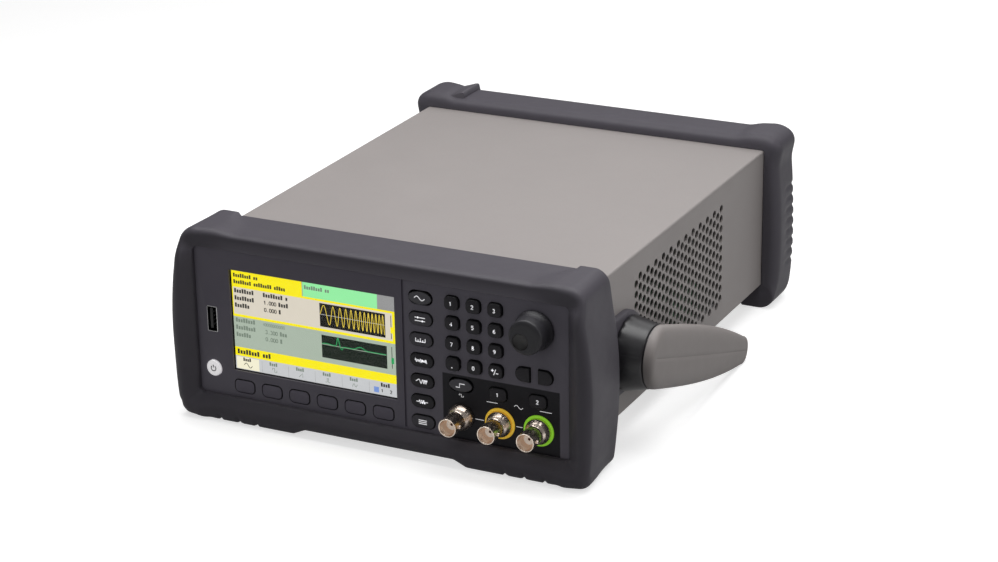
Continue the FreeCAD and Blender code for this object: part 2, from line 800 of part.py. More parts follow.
def make_usb_host_port():
    piece = Piece("usb_host_port", "usb_x", "0", "usb_z")
    piece.add("y", "-0.3", "usb_depth", box("0", "0", "usb_width", "usb_height"))
    piece.cut("y", "-0.3", "usb_depth - 2", box("0", "0", "usb_width - 0.8", "usb_height - 0.8"))
    piece.add("y", "1", "usb_depth - 2", box("-0.9", "0", "1.7", "usb_height - 2.6"))
    piece.finish()


def jack_shell(label, x, y, z, towards_back):
    """Bayonet jack's metal shell, its nose towards local -Y."""
    piece = Piece(label, x, y, z)
    piece.spin("y", outline(
        ("4.05", "-jack_length"), ("jack_barrel_radius", "-jack_length"),
        ("jack_barrel_radius", "-3.4"), ("jack_flange_radius", "-3.4"), ("jack_flange_radius", "0"),
        ("jack_thread_radius", "0"), ("jack_thread_radius", "12"), ("4.05", "12")))
    for side in (LEFT, RIGHT):
        piece.add("x", *mirrored(side, "jack_barrel_radius - 0.4", "jack_barrel_radius + 1"),
                  disc("-jack_length + 4", "0", "0.95"))
    turn_round(piece, towards_back)
    return piece.body


def jack_insulator(label, x, y, z, towards_back):
    """White insulator inside a jack, with the centre contact's hole."""
    piece = Piece(label, x, y, z)
    nose = "-jack_length + insulator_depth"
    piece.spin("y", outline(
        ("0.7", nose), ("insulator_radius", nose), ("insulator_radius", "-6"), ("4.05", "-6"),
        ("4.05", "12"), ("0.7", "12")))
    turn_round(piece, towards_back)
    return piece.body


def jack_nut(label, x, y, z, towards_back):
    """Hexagon nut that clamps a jack to its panel."""
    piece = Piece(label, x, y, z)
    corners = [(f"7.6 * cos({60 * i})", f"7.6 * sin({60 * i})") for i in range(6)]
    thickness = "rear_panel_thickness" if towards_back else "panel_thickness"
    piece.add("y", thickness, f"{thickness} + 2.2", outline(*corners))
    piece.cut("y", thickness, f"{thickness} + 2.2", disc("0", "0", "jack_thread_radius"))
    turn_round(piece, towards_back)
    return piece.body


def turn_round(piece, towards_back):
    """Face a rear-panel connector backwards."""
    if towards_back:
        piece.body.Placement = FreeCAD.Placement(
            piece.body.Placement.Base, FreeCAD.Rotation(FreeCAD.Vector(0, 0, 1), 180))


def make_jacks():
    rear_face = "sleeve_back + rear_panel_thickness"
    places = [(x, "0", z, False) for x, z in front_jack_places()]
    places += [(x, rear_face, z, True) for x, z in rear_jack_places()]
    shells, insulators = [], []
    for number, place in enumerate(places, start=1):
        shells.append(jack_shell(f"jack_shell_{number}", *place))
        shells.append(jack_nut(f"jack_nut_{number}", *place))
        insulators.append(jack_insulator(f"jack_insulator_{number}", *place))
    group("bnc_jacks", *shells)
    group("bnc_insulators", *insulators)
    for channel in (1, 2):
        ring = Piece(f"channel_{channel}_ring", *jack_place(channel))
        ring.add("y", "-ring_thickness", "0", disc("0", "0", "ring_radius"))
        ring.cut("y", "-ring_thickness", "0", disc("0", "0", "jack_flange_radius"))
        ring.finish()


def jack_place(channel):
    x, z = front_jack_places()[channel]
    return x, "0", z


# ---------------------------------------------------------------- swivel handle

def handle_piece(label):
    """Body drawn along the handle's arm, turned down to its rest position."""
    piece = Piece(label, "0", "handle_y", "handle_z")
    fold_axis = FreeCAD.Vector(-1, 0, 0)
    folded = FreeCAD.Rotation(fold_axis, value("handle_rest_angle"))
    piece.body.Placement = FreeCAD.Placement(ORIGIN, folded)
    piece.body.setExpression("Placement.Rotation.Angle", formula("handle_rest_angle"))
    return piece


def arm_outline():
    """Side view of the arm: round at the hub, tapering to a round tip."""
    belly_y, belly_half = "handle_reach * 0.75", "handle_hub_half * 0.81"
    return outline(
        ("0", "handle_hub_half", "-handle_hub_half", "0"),
        ("0", "-handle_hub_half"),
        ("handle_middle", "-handle_middle_half", belly_y, f"-{belly_half}"),
        ("handle_reach", "-handle_tip_radius", "handle_reach + handle_tip_radius", "0"),
        ("handle_reach", "handle_tip_radius", belly_y, belly_half),
        ("handle_middle", "handle_middle_half"))


def crossbar_outline(skin="0"):
    return soft_box("handle_reach", "-crossbar_drop", f"crossbar_long + 2 * ({skin})",
                    f"crossbar_short + 2 * ({skin})", f"crossbar_short / 2 + {skin} - 0.05")


def make_handle():
    frame = handle_piece("handle_frame")
    frame.add("x", "-handle_cover_face", "-handle_arm_face", arm_outline())
    frame.add("x", "-handle_arm_face", "handle_arm_face", crossbar_outline())
    frame.add("x", "handle_arm_face", "handle_cover_face", arm_outline())
    for side in (LEFT, RIGHT):
        bore = "pivot_radius + turning_gap"
        inner, outer = f"{side} * handle_barrel_face", f"{side} * handle_arm_face"
        frame.spin("x", outline((inner, bore), (inner, "handle_barrel_radius"),
                                (outer, "handle_barrel_end_radius"), (outer, bore)))
        frame.cut("x", *mirrored(side, "handle_arm_face - 0.5", "handle_cover_face"),
                  disc("0", "0", "pivot_head_radius + turning_gap"))
    frame.finish()
    group("handle_side_covers", *[side_cover(side) for side in (LEFT, RIGHT)])
    grip = handle_piece("handle_grip")
    grip.add("x", "-grip_half_length", "grip_half_length", crossbar_outline("grip_skin"))
    grip.cut("x", "-grip_half_length", "grip_half_length", crossbar_outline())
    grip.finish()
    group("handle_pivots", *[pivot(side) for side in (LEFT, RIGHT)])


def side_cover(side):
    """Soft cover on the outside of one arm, thinner towards the tip."""
    name = "right" if side == RIGHT else "left"
    cover = handle_piece(f"handle_cover_{name}")
    cover.add("x", *mirrored(side, "handle_cover_face", "handle_outer_face"), arm_outline())
    start, end = "handle_hub_half", "handle_reach + handle_hub_half"
    belly = "(handle_outer_face + handle_tip_face) / 2 + 1"
    cover.cut("z", "-20", "20", outline(
        (f"{side} * handle_outer_face", start, f"{side} * ({belly})", f"({start} + {end}) / 2"),
        (f"{side} * handle_tip_face", end),
        (f"{side} * (handle_outer_face + 2)", end),
        (f"{side} * (handle_outer_face + 2)", start)))
    return cover.body


def pivot(side):
    """Fixed stub that one side of the handle turns on, with its retaining head."""
    name = "right" if side == RIGHT else "left"
    stub = Piece(f"handle_pivot_{name}", "0", "handle_y", "handle_z")
    inside = "case_width / 2 - sheet"
    head = "handle_arm_face - 0.4"
    steps = [(f"{inside} - 2", "0"), (f"{inside} - 2", "12"), (inside, "12"), (inside, "pivot_radius"),
             (head, "pivot_radius"), (head, "pivot_head_radius"),
             ("handle_cover_face - 0.6", "pivot_head_radius"), ("handle_cover_face - 0.6", "0")]
    stub.spin("x", outline(*[(f"{side} * ({x})", y) for x, y in steps]))
    return stub.body


# ---------------------------------------------------------------- rear panel and insides

def grille():
    """Round air holes behind the fan, on a triangular lattice inside its bore."""
    pitch = 6.4
    holes = []
    for row in range(-4, 5):
        for column in range(-5, 6):
            x, z = pitch * (column + 0.5 * (row % 2)), pitch * 0.866 * row
            if math.hypot(x, z) < value("fan_bore") - 2:
                holes.append(disc(f"fan_x + {x:.2f}", f"fan_z + {z:.2f}", "2.3"))
    return holes


def make_rear_panel():
    piece = Piece("rear_panel")
    face, back = "sleeve_back", "sleeve_back + rear_panel_thickness"
    piece.add("y", face, back, case_outline())
    piece.cut("y", face, back, *grille())
    piece.cut("y", face, back,
              box("inlet_x", "inlet_z", "inlet_width", "inlet_height"),
              box("network_port_x", "16.4", "16.4", "13.6"),
              box("data_port_x", "15.2", "12.4", "11.2"),
              *[disc(x, z, "screw_radius") for x, z in
                rear_screw_places() + fan_screw_places() + inlet_screw_places()],
              *[disc(x, z, "jack_thread_radius") for x, z in rear_jack_places()])
    piece.finish()


def make_mains_inlet():
    piece = Piece("mains_inlet", "inlet_x", "sleeve_back", "inlet_z")
    piece.add("y", "-20", "rear_panel_thickness", box("0", "0", "inlet_width", "inlet_height"))
    piece.add("y", "rear_panel_thickness", "rear_panel_thickness + 2.5",
              soft_box("0", "0", "inlet_flange_width", "inlet_height + 3", "3"))
    piece.cut("y", "-14", "rear_panel_thickness + 2.5", soft_box("0", "0", "24", "16.5", "3"))
    piece.add("y", "-14", "0", *[box(x, z, "2", "4") for x, z in (("0", "2.5"), ("-6.8", "-2"), ("6.8", "-2"))])
    piece.cut("y", "rear_panel_thickness", "rear_panel_thickness + 2.5",
              *[disc(f"{side} * inlet_screw_half", "0", "screw_radius") for side in (LEFT, RIGHT)])
    piece.finish()


def make_rear_data_ports():
    """Network and data sockets on the back edge of the main board."""
    board_top = "board_z + board_thickness"
    network = Piece("network_port", "network_port_x", "sleeve_back", board_top)
    network.add("y", "-19", "2", box("0", "13.4 / 2", "16", "13.4"))
    network.cut("y", "-12", "2", box("0", "7", "12", "8.5"))
    data = Piece("data_port", "data_port_x", "sleeve_back", board_top)
    data.add("y", "-15", "2", box("0", "11 / 2", "12", "11"))
    data.cut("y", "-8", "2", box("0", "11 / 2", "8.6", "7.9"))
    data.add("y", "-8", "0", box("0", "11 / 2", "5.6", "3"))
    group("rear_data_ports", network.body, data.body)


def make_fan():
    depth = "fan_depth"
    frame = Piece("fan_frame", "fan_x", f"sleeve_back - {depth}", "fan_z")
    frame.add("y", "0", depth, soft_box("0", "0", "fan_size", "fan_size", "4"))
    frame.cut("y", "0", depth, disc("0", "0", "fan_bore"))
    frame.add("y", f"{depth} - 2.6", depth, box("0", "0", "2 * fan_bore + 2", "3"))
    frame.add("y", f"{depth} - 2.6", depth, box("0", "0", "3", "2 * fan_bore + 2"))
    frame.add("y", f"{depth} - 2.6", depth, disc("0", "0", "fan_hub_radius - 1"))
    frame.add("y", "3", f"{depth} - 2.6", disc("0", "0", "screw_radius"))
    frame.cut("y", "0", depth, *[disc(f"{i} * fan_screw_half", f"{j} * fan_screw_half", "screw_radius")
                                 for i in (LEFT, RIGHT) for j in (LEFT, RIGHT)])
    frame.finish()
    rotor = Piece("fan_rotor", "fan_x", f"sleeve_back - {depth}", "fan_z")
    rotor.add("y", "1.2", f"{depth} - 2.8", disc("0", "0", "fan_hub_radius"))
    blade = rotor.add("x", "fan_hub_radius - 1", "fan_blade_tip", outline(
        ("2.4", "-5.5"), ("3.8", "-5.5"), (f"{depth} - 3.6", "5.5"), (f"{depth} - 5", "5.5")))
    blades = rotor.body.newObject("PartDesign::PolarPattern", "fan_blades")
    blades.Originals = [blade]
    blades.Axis = (rotor.features["Y_Axis"], [""])
    blades.Angle = 360
    blades.Occurrences = FAN_BLADES
    rotor.body.Tip = blades
    rotor.cut("y", "2.5", f"{depth} - 2.8", disc("0", "0", "screw_radius + turning_gap"))
    rotor.finish()


def make_main_board():
    piece = Piece("main_board")
    top = "board_z + board_thickness"
    middle = "(board_left + board_right) / 2"
    piece.add("z", "board_z", top, box(middle, "(board_front + board_back) / 2",
                                       "board_right - board_left", "board_back - board_front"))
    piece.add("z", top, f"{top} + 7", box("62", "72", "58", "48"), box("-4", "72", "44", "48"))
    piece.add("z", top, f"{top} + 3", box("30", "170", "26", "26"), box("-14", "214", "14", "20"))
    fins = [box(f"{68 + 4 * i}", "178", "1.6", "44") for i in range(7)]
    piece.add("z", top, f"{top} + 3", box("80", "178", "26", "44"))
    piece.add("z", f"{top} + 3", f"{top} + 14", *fins)
    piece.add("z", top, f"{top} + 12", *[disc("-26", f"{130 + 16 * i}", "5") for i in range(4)])
    piece.cut("z", "board_z", top, *[disc(x, y, "screw_radius") for x, y in board_screw_places()])
    piece.finish()


def make_power_supply():
    piece = Piece("power_supply", "supply_x", "0", "sheet + tray_sheet")
    length, middle = "supply_back - supply_front", "(supply_front + supply_back) / 2"
    piece.add("z", "0", "supply_height", soft_box("0", middle, "supply_width", length, "1.5"))
    slots = [box("0", f"supply_front + {12 + 8 * i}", "supply_width - 14", "3") for i in range(12)]
    piece.cut("z", "supply_height - 1.2", "supply_height", *slots)
    piece.finish()


# ---------------------------------------------------------------- fasteners

def screw(label, axis, x, y, z, length):
    """Pan-head screw with its head on the far side of the place, along +Y or +/-Z."""
    piece = Piece(label, x, y, z)
    toward = "-1 *" if axis == "-z" else "1 *"
    head = sorted(("0", f"{toward} screw_head_height"), key=value)
    shank = sorted(("0", f"{toward} -{length}"), key=value)
    line = axis[-1]
    piece.add(line, *head, disc("0", "0", "screw_head_radius"))
    piece.add(line, *shank, disc("0", "0", "screw_radius"))
    return piece.body


def make_fasteners():
    rear_face = "sleeve_back + rear_panel_thickness"
    screws = []
    for number, (x, z) in enumerate(rear_screw_places() + fan_screw_places(), start=1):
        screws.append(screw(f"rear_screw_{number}", "y", x, rear_face, z, 7))
    for number, (x, z) in enumerate(inlet_screw_places(), start=1):
        screws.append(screw(f"inlet_screw_{number}", "y", x, f"{rear_face} + 2.5", z, 8))
    for number, (x, y) in enumerate(board_screw_places(), start=1):
        screws.append(screw(f"board_screw_{number}", "z", x, y, "board_z + board_thickness", 6))
    for number, (x, y) in enumerate(sleeve_screw_places(), start=1):
        screws.append(screw(f"sleeve_screw_{number}", "-z", x, y, "0", 6))
    group("fasteners", *screws)


# ---------------------------------------------------------------- build, check and write

make_front_bumper()
make_rear_bumper()
make_case_sleeve()
make_chassis_tray()
make_front_panel()
make_display()
make_keypad_membrane()
make_keypad_board()
make_keys()
make_knob()
make_usb_host_port()
make_jacks()
make_handle()
make_rear_panel()
make_mains_inlet()
make_rear_data_ports()
make_fan()
make_main_board()
make_power_supply()
make_fasteners()
doc.recompute()

for item in doc.Objects:
    if "Invalid" in item.State or "Error" in item.State:
        raise RuntimeError(f"{item.Label} did not build: {item.State}")

os.makedirs("parts", exist_ok=True)
for node in nodes:
    if node.Shape.isNull() or not node.Shape.isValid():
        raise RuntimeError(f"{node.Label} has no valid shape")
    node.Shape.exportStep(f"parts/{node.Label}.step")
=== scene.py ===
import json
import math

import bmesh
import bpy
from mathutils import Matrix, Vector


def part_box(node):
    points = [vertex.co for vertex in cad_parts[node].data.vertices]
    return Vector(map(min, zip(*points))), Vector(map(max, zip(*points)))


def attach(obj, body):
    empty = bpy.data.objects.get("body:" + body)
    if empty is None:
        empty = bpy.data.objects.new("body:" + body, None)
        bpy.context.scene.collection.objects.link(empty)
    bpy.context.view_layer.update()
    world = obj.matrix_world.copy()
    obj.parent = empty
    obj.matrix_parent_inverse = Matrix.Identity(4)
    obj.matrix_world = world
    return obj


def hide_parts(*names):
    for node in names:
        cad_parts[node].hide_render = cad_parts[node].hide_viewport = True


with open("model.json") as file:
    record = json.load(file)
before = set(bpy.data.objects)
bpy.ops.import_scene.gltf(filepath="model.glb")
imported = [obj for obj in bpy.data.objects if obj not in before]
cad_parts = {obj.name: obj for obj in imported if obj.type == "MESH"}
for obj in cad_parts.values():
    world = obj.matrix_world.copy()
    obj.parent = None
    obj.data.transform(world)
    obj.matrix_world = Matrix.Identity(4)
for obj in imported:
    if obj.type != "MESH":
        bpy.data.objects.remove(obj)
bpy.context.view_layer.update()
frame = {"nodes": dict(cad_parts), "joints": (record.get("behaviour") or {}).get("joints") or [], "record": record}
RECORD = frame["record"]
MM = 0.001
LEFT, RIGHT = -1, 1

# Case coordinates are millimetres: x to the right, y backwards from the panel's face, z up
# from the sleeve's underside.  The panel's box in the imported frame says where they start.
PANEL_LOW, PANEL_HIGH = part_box("front_panel")
CASE_ORIGIN = Vector((0.0, PANEL_LOW.y, PANEL_LOW.z))
CASE_HALF = PANEL_HIGH.x / MM
CASE_HEIGHT = (PANEL_HIGH.z - PANEL_LOW.z) / MM


def at(x, y, z):
    """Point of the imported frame, in metres, from case coordinates."""
    return CASE_ORIGIN + Vector((x, y, z)) * MM


def ring_at(path, y, x=0.0, z=0.0):
    """Outline of (x, z) points set at one y, moved by x and z."""
    return [at(x + p.x, y, z + p.y) for p in path]


def case_box(node):
    """A node's lowest and highest corners in case coordinates."""
    low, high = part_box(node)
    return (low - CASE_ORIGIN) / MM, (high - CASE_ORIGIN) / MM


def face_of(node):
    """A node's centre (x, z) and its width and height, seen from the front."""
    low, high = case_box(node)
    return (low.x + high.x) / 2, (low.z + high.z) / 2, high.x - low.x, high.z - low.z


def blend(first, second, share):
    return first + (second - first) * share


def smooth_step(low, high, value):
    """0 up to low, 1 from high on, and an even curve between.  low may be the larger."""
    t = min(max((value - low) / (high - low), 0.0), 1.0)
    return t * t * (3 - 2 * t)


def bump_at(value, centre, half_width):
    """Smooth bump of height 1 about a centre."""
    t = abs(value - centre) / half_width
    return 0.5 + 0.5 * math.cos(math.pi * t) if t < 1 else 0.0


# ---- materials

def srgb(red, green, blue):
    """Linear colour from 0 to 255 values."""
    def linear(channel):
        c = channel / 255
        return c / 12.92 if c <= 0.04045 else ((c + 0.055) / 1.055) ** 2.4
    return (linear(red), linear(green), linear(blue), 1.0)


SURFACES = {}


class Surface:
    """A node material: fine grain in the relief, slow mottling in the colour, worn edges."""

    def __init__(self, name, colour, roughness=0.5, metallic=0.0, grain=0.0, grain_size=0.6,
                 mottle=0.08, mottle_size=18.0, wear=0.0, specular=0.5, emission=0.0):
        self.material = bpy.data.materials.new(name)
        self.material.use_nodes = True
        self.nodes = self.material.node_tree.nodes
        self.links = self.material.node_tree.links
        self.shader = self.nodes["Principled BSDF"]
        self.place = self.add("TexCoord").outputs["Object"]
        self.colour = self.mottled(colour, mottle, mottle_size)
        if wear:
            edges = self.ramp(self.add("NewGeometry").outputs["Pointiness"], 0.505, 0.60, wear)
            self.colour = self.blend_colours(edges, self.colour, (0.5, 0.5, 0.5, 1))
        self.feed(self.shader, Base_Color=self.colour, Metallic=metallic, Specular_IOR_Level=specular,
                  Roughness=self.uneven(roughness, 0.4 * mottle_size))
        if grain:
            relief = self.add("Bump", Distance=grain * MM, Strength=1.0, Height=self.noise(grain_size, 3.0))
            self.feed(self.shader, Normal=relief.outputs["Normal"])
        if emission:
            self.feed(self.shader, Emission_Color=self.colour, Emission_Strength=emission)
        SURFACES[name] = self

    def drive(self, socket, value):
        """Give an input a value, or link it where the value is another node's output."""
        if isinstance(value, bpy.types.NodeSocket):
            self.links.new(value, socket)
        else:
            socket.default_value = value

    def feed(self, node, **inputs):
        for name, value in inputs.items():
            self.drive(node.inputs[name.replace("_", " ")], value)

    def add(self, kind, **inputs):
        node = self.nodes.new("ShaderNode" + kind)
        self.feed(node, **inputs)
        return node

    def noise(self, size_mm, detail=2.0):
        texture = self.add("TexNoise", Scale=1.0 / (size_mm * MM), Detail=detail, Vector=self.place)
        return texture.outputs["Fac"]

    def blend_colours(self, factor, first, second, how="MIX"):
        mix = self.add("Mix")
        mix.data_type = "RGBA"
        mix.blend_type = how
        self.drive(mix.inputs["Factor"], factor)
        self.drive(mix.inputs[6], first)
        self.drive(mix.inputs[7], second)
        return mix.outputs[2]

    def mottled(self, colour, amount, size):
        dark = tuple(c * (1 - amount) for c in colour[:3]) + (1.0,)
        light = tuple(min(c * (1 + amount), 1.0) for c in colour[:3]) + (1.0,)
        return self.blend_colours(self.noise(size, 4.0), dark, light)

    def uneven(self, value, size, swing=0.06):
        """A value that wanders a little either way over the surface."""
        span = self.add("MapRange", To_Min=max(value - swing, 0.02), To_Max=value + swing,
                        Value=self.noise(size))
        return span.outputs["Result"]

    def ramp(self, source, low, high, level):
        """Black up to low, then rising to a level of grey at high."""
        ramp = self.add("ValToRGB", Fac=source)
        ramp.color_ramp.elements[0].position = low
        ramp.color_ramp.elements[1].position = high
        ramp.color_ramp.elements[1].color = (level, level, level, 1)
        return ramp.outputs["Color"]

    def axis_mask(self, source, axis, low, high):
        """0 below low and 1 above high along one axis of a vector."""
        part = self.add("SeparateXYZ", Vector=source).outputs[axis]
        return self.add("MapRange", From_Min=low, From_Max=high, Value=part).outputs["Result"]

    def times(self, first, second):
        product = self.add("Math")
        product.operation = "MULTIPLY"
        self.drive(product.inputs[0], first)
        self.drive(product.inputs[1], second)
        return product.outputs["Value"]

    def recolour(self, mask, colour):
        """Paint a colour over what the mask covers."""
        self.colour = self.blend_colours(mask, self.colour, colour)
        self.feed(self.shader, Base_Color=self.colour)


def key_surface(name, sides, face, roughness=0.5, specular=0.25, grain=0.012, grain_size=0.25):
    """Key coloured with painted shade: the side walls keep the dark sides colour as shade, and the lighter face
    colour goes over what looks out of the panel.
    """
    surface = Surface(name, srgb(*sides), roughness, specular=specular, grain=grain, grain_size=grain_size)
    normal = surface.add("NewGeometry").outputs["Normal"]
    # painted shade: faces that look out of the panel get the face colour, the side walls keep the darker sides
    # colour
    surface.recolour(surface.axis_mask(normal, "Y", -0.75, -0.97), srgb(*face))


JACK_FIELD = at(36.2, 0, -2), at(100.3, 0, 34.5)


def panel_surface():
    """Dark panel with a darker field behind the jacks."""
    surface = Surface("panel_plastic", srgb(98, 94, 105), 0.55, grain=0.02, grain_size=0.35, wear=0.06,
                      specular=0.2)
    soft = 0.25 * MM
    low, high = JACK_FIELD
    mask = surface.axis_mask(surface.place, "X", low.x - soft, low.x + soft)
    mask = surface.times(mask, surface.axis_mask(surface.place, "X", high.x + soft, high.x - soft))
    mask = surface.times(mask, surface.axis_mask(surface.place, "Z", high.z + soft, high.z - soft))
    surface.recolour(mask, srgb(26, 25, 30))


def sleeve_surface():
    """Textured powder paint with fine light and dark speckle."""
    surface = Surface("sleeve_paint", srgb(135, 128, 126), 0.5, metallic=0.15, grain=0.03,
                      grain_size=0.45, mottle=0.05, mottle_size=60.0, wear=0.12)
    speckle = surface.ramp(surface.noise(0.35, 1.0), 0.60, 0.72, 0.35)
    surface.recolour(speckle, srgb(120, 114, 110))


def rubber_and_plastic_surfaces():
    Surface("bumper_rubber", srgb(69, 66, 73), 0.5, grain=0.02, grain_size=0.3, mottle=0.06, wear=0.03,
            specular=0.25)
    # for each key the first colour is its side walls darkened as painted shade, the second its face
    key_surface("key_rubber", (14, 14, 16), (32, 30, 35))
    key_surface("soft_key_rubber", (20, 20, 22), (70, 68, 74))
    key_surface("grey_key_rubber", (16, 16, 18), (80, 79, 84), 0.45)
    key_surface("panel_key", (22, 21, 24), (102, 98, 109), specular=0.2, grain=0.015, grain_size=0.3)
    # painted glow: the power key's white is lifted by an emission though the key is not lit
    Surface("power_key", srgb(250, 248, 250), 0.35, grain=0.008, mottle=0.03, emission=0.4)
    Surface("knob_plastic", srgb(46, 45, 49), 0.42, grain=0.015, grain_size=0.2, specular=0.3)
    # painted shade: the dimple's faces take a darker colour for the shade in the hollow
    Surface("knob_dimple", srgb(30, 28, 28), 0.5, grain=0.01, grain_size=0.2)
    # painted glow: the white insulator has a small emission so it looks brighter in its bore
    Surface("insulator", srgb(255, 240, 226), 0.4, grain=0.006, mottle=0.04, mottle_size=2.0, emission=0.16)
    # painted glow: the channel rings are plain coloured plastic, lifted by an emission
    Surface("yellow_ring", srgb(255, 205, 60), 0.35, grain=0.006, mottle=0.06, emission=0.25)
    Surface("green_ring", srgb(160, 235, 50), 0.35, grain=0.006, mottle=0.06, emission=0.25)
    Surface("handle_black", srgb(34, 33, 36), 0.33, grain=0.006, mottle=0.1)
    Surface("handle_grey", srgb(132, 126, 124), 0.58, grain=0.015, grain_size=0.3, mottle=0.04, wear=0.05)
    Surface("black_plastic", srgb(30, 30, 32), 0.5, grain=0.015, wear=0.05)
    # near black: inside the USB cavity it is painted shade, on the power key it is the dark print
    Surface("socket_dark", srgb(8, 8, 9), 0.4, grain=0.01)
    # the print's white is real; its emission is a painted glow
    Surface("print_white", srgb(245, 245, 248), 0.5, mottle=0.05, mottle_size=1.0, emission=0.4)
    Surface("board", srgb(18, 92, 52), 0.35, grain=0.02, grain_size=1.2, mottle=0.2, mottle_size=4.0)
    Surface("rear_paint", srgb(150, 144, 141), 0.5, grain=0.03, grain_size=0.45)


def metal_surfaces():
    # painted shade: the inner chassis and supply case are much darker than their bright zinc, for the shade inside
    # the case
    Surface("chassis_steel", (0.16, 0.16, 0.17, 1), 0.5, metallic=1.0, grain=0.01, mottle=0.15)
    Surface("supply_case", (0.16, 0.16, 0.17, 1), 0.5, metallic=1.0, mottle=0.1)
    Surface("pivot_steel", (0.45, 0.45, 0.46, 1), 0.3, metallic=1.0, mottle=0.1)
    Surface("screw_steel", (0.42, 0.42, 0.43, 1), 0.3, metallic=1.0, mottle=0.15, mottle_size=2.0)
    Surface("port_steel", (0.6, 0.6, 0.6, 1), 0.3, metallic=1.0, mottle=0.1, mottle_size=3.0)
    Surface("nickel", srgb(238, 222, 208), 0.26, metallic=1.0, mottle=0.03, mottle_size=3.0)
    Surface("contact_gold", srgb(96, 58, 38), 0.35, metallic=0.6, mottle=0.05, mottle_size=1.0)


PIXEL_CELL = 0.4


def lit_surface(name, colour):
    """Colour on the lit display, with the fine cell structure of its pixels."""
    surface = Surface(name, colour, 0.35, mottle=0.03, mottle_size=6.0, specular=0.0)
    cells = surface.add("TexChecker", Scale=1.0 / (PIXEL_CELL * MM), Color1=(0.96, 0.96, 0.96, 1),
                        Color2=(1, 1, 1, 1), Vector=surface.place)
    glow = surface.blend_colours(1.0, surface.colour, cells.outputs["Color"], "MULTIPLY")
    surface.feed(surface.shader, Emission_Color=glow, Emission_Strength=1.0)
    base = surface.shader.inputs["Base Color"]
    surface.links.remove(base.links[0])
    base.default_value = (0.02, 0.02, 0.02, 1)


def window_surface():
    """Clear window with a faint reflection and no colour of its own."""
    surface = Surface("clear_window", (1, 1, 1, 1), 0.12, mottle=0.01)
    clear = surface.add("BsdfTransparent")
    gloss = surface.add("BsdfGlossy", Roughness=0.15, Color=surface.colour)
    mix = surface.add("MixShader", Fac=0.01)
    surface.drive(mix.inputs[1], clear.outputs["BSDF"])
    surface.drive(mix.inputs[2], gloss.outputs["BSDF"])
    surface.feed(surface.nodes["Material Output"], Surface=mix.outputs["Shader"])


SCREEN_COLOURS = {
    "yellow": (255, 238, 12), "green": (150, 240, 165), "cream": (220, 212, 196), "sage": (170, 184, 168),
    "grey": (150, 150, 150), "pale": (200, 202, 204), "ivory": (245, 240, 212), "black": (10, 9, 4),
    "dark_green": (6, 22, 10), "ink": (40, 38, 34), "faint": (118, 132, 118), "gold": (232, 205, 70),
    "trace": (40, 160, 90), "blue": (120, 150, 215)}


def make_surfaces():
    panel_surface()
    sleeve_surface()
    rubber_and_plastic_surfaces()
    metal_surfaces()
    window_surface()
    for name, colour in SCREEN_COLOURS.items():
        lit_surface("screen_" + name, srgb(*colour))


# ---- meshes


def put(name, data):
    """New object in the scene."""
    thing = bpy.data.objects.new(name, data)
    bpy.context.scene.collection.objects.link(thing)
    return thing


def piece(name, body, surface, parts, replaces=(), sharp_degrees=32.0):
    """One visible piece from parts of vertices in metres, faces and, where it isn't the
    piece's own, the surface's name."""
    data = bpy.data.meshes.new(name)
    names = [surface]
    vertices, faces, slots = [], [], []
    for points, loops, *own in parts:
        own = own[0] if own else surface
        if own not in names:
            names.append(own)
        start = len(vertices)
        vertices.extend(points)
        faces.extend([[start + i for i in loop] for loop in loops])
        slots.extend([names.index(own)] * len(loops))
    data.from_pydata([tuple(v) for v in vertices], [], faces)
    for own in names:
        data.materials.append(SURFACES[own].material)
    data.polygons.foreach_set("material_index", slots)
    work = bmesh.new()
    work.from_mesh(data)
    bmesh.ops.recalc_face_normals(work, faces=work.faces)
    limit = math.radians(sharp_degrees)
    for edge in work.edges:
        edge.smooth = len(edge.link_faces) == 2 and edge.calc_face_angle(0.0) < limit
    for face in work.faces:
        face.smooth = True
    work.to_mesh(data)
    work.free()
    thing = put(name, data)
    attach(thing, body)
    if replaces:
        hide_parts(*replaces)
    return thing


def lattice(rows, close_rows=False, close_columns=True):
    """Quads over rows of points that all have the same length."""
    count, width = len(rows), len(rows[0])
    points = [p for row in rows for p in row]
    faces = []
    for i in range(count if close_rows else count - 1):
        for j in range(width if close_columns else width - 1):
            a, b = i * width + j, i * width + (j + 1) % width
            c, d = ((i + 1) % count) * width + (j + 1) % width, ((i + 1) % count) * width + j
            faces.append([a, b, c, d])
    return points, faces


def capped(rows):
    """Closed tube over rows, with a flat cap at each end."""
    points, faces = lattice(rows)
    width = len(rows[0])
    faces.append(list(range(width)))
    faces.append([(len(rows) - 1) * width + j for j in range(width)][::-1])
    return points, faces


def arc(centre_a, centre_b, radius, start, end, steps):
    """Points of an arc, angles in degrees."""
    angles = [math.radians(start + (end - start) * i / steps) for i in range(steps + 1)]
    return [(centre_a + radius * math.cos(t), centre_b + radius * math.sin(t)) for t in angles]


def turned(profile, centre, axis="y", segments=64):
    """Solid of revolution.  The profile is (radius, distance along the axis) in millimetres,
    and a closed one when it doesn't start and end on the axis."""
    rows, tips = [], []
    for radius, along in profile:
        if radius < 1e-6:
            tips.append(along)
            continue
        ring = []
        for k in range(segments):
            t = 2 * math.pi * k / segments
            across, up = radius * math.cos(t), radius * math.sin(t)
            ring.append(place_on(centre, axis, across, along, up))
        rows.append(ring)
    if not tips:
        return lattice(rows, close_rows=True)
    points, faces = lattice(rows)
    for tip, row in zip(tips, (0, len(rows) - 1)):
        points.append(place_on(centre, axis, 0.0, tip, 0.0))
        first = row * segments
        faces.extend([[first + (k + 1) % segments, first + k, len(points) - 1]
                      for k in range(segments)])
    return points, faces


def place_on(centre, axis, across, along, up):
    if axis == "y":
        return centre + Vector((across, along, up)) * MM
    return centre + Vector((along, across, up)) * MM


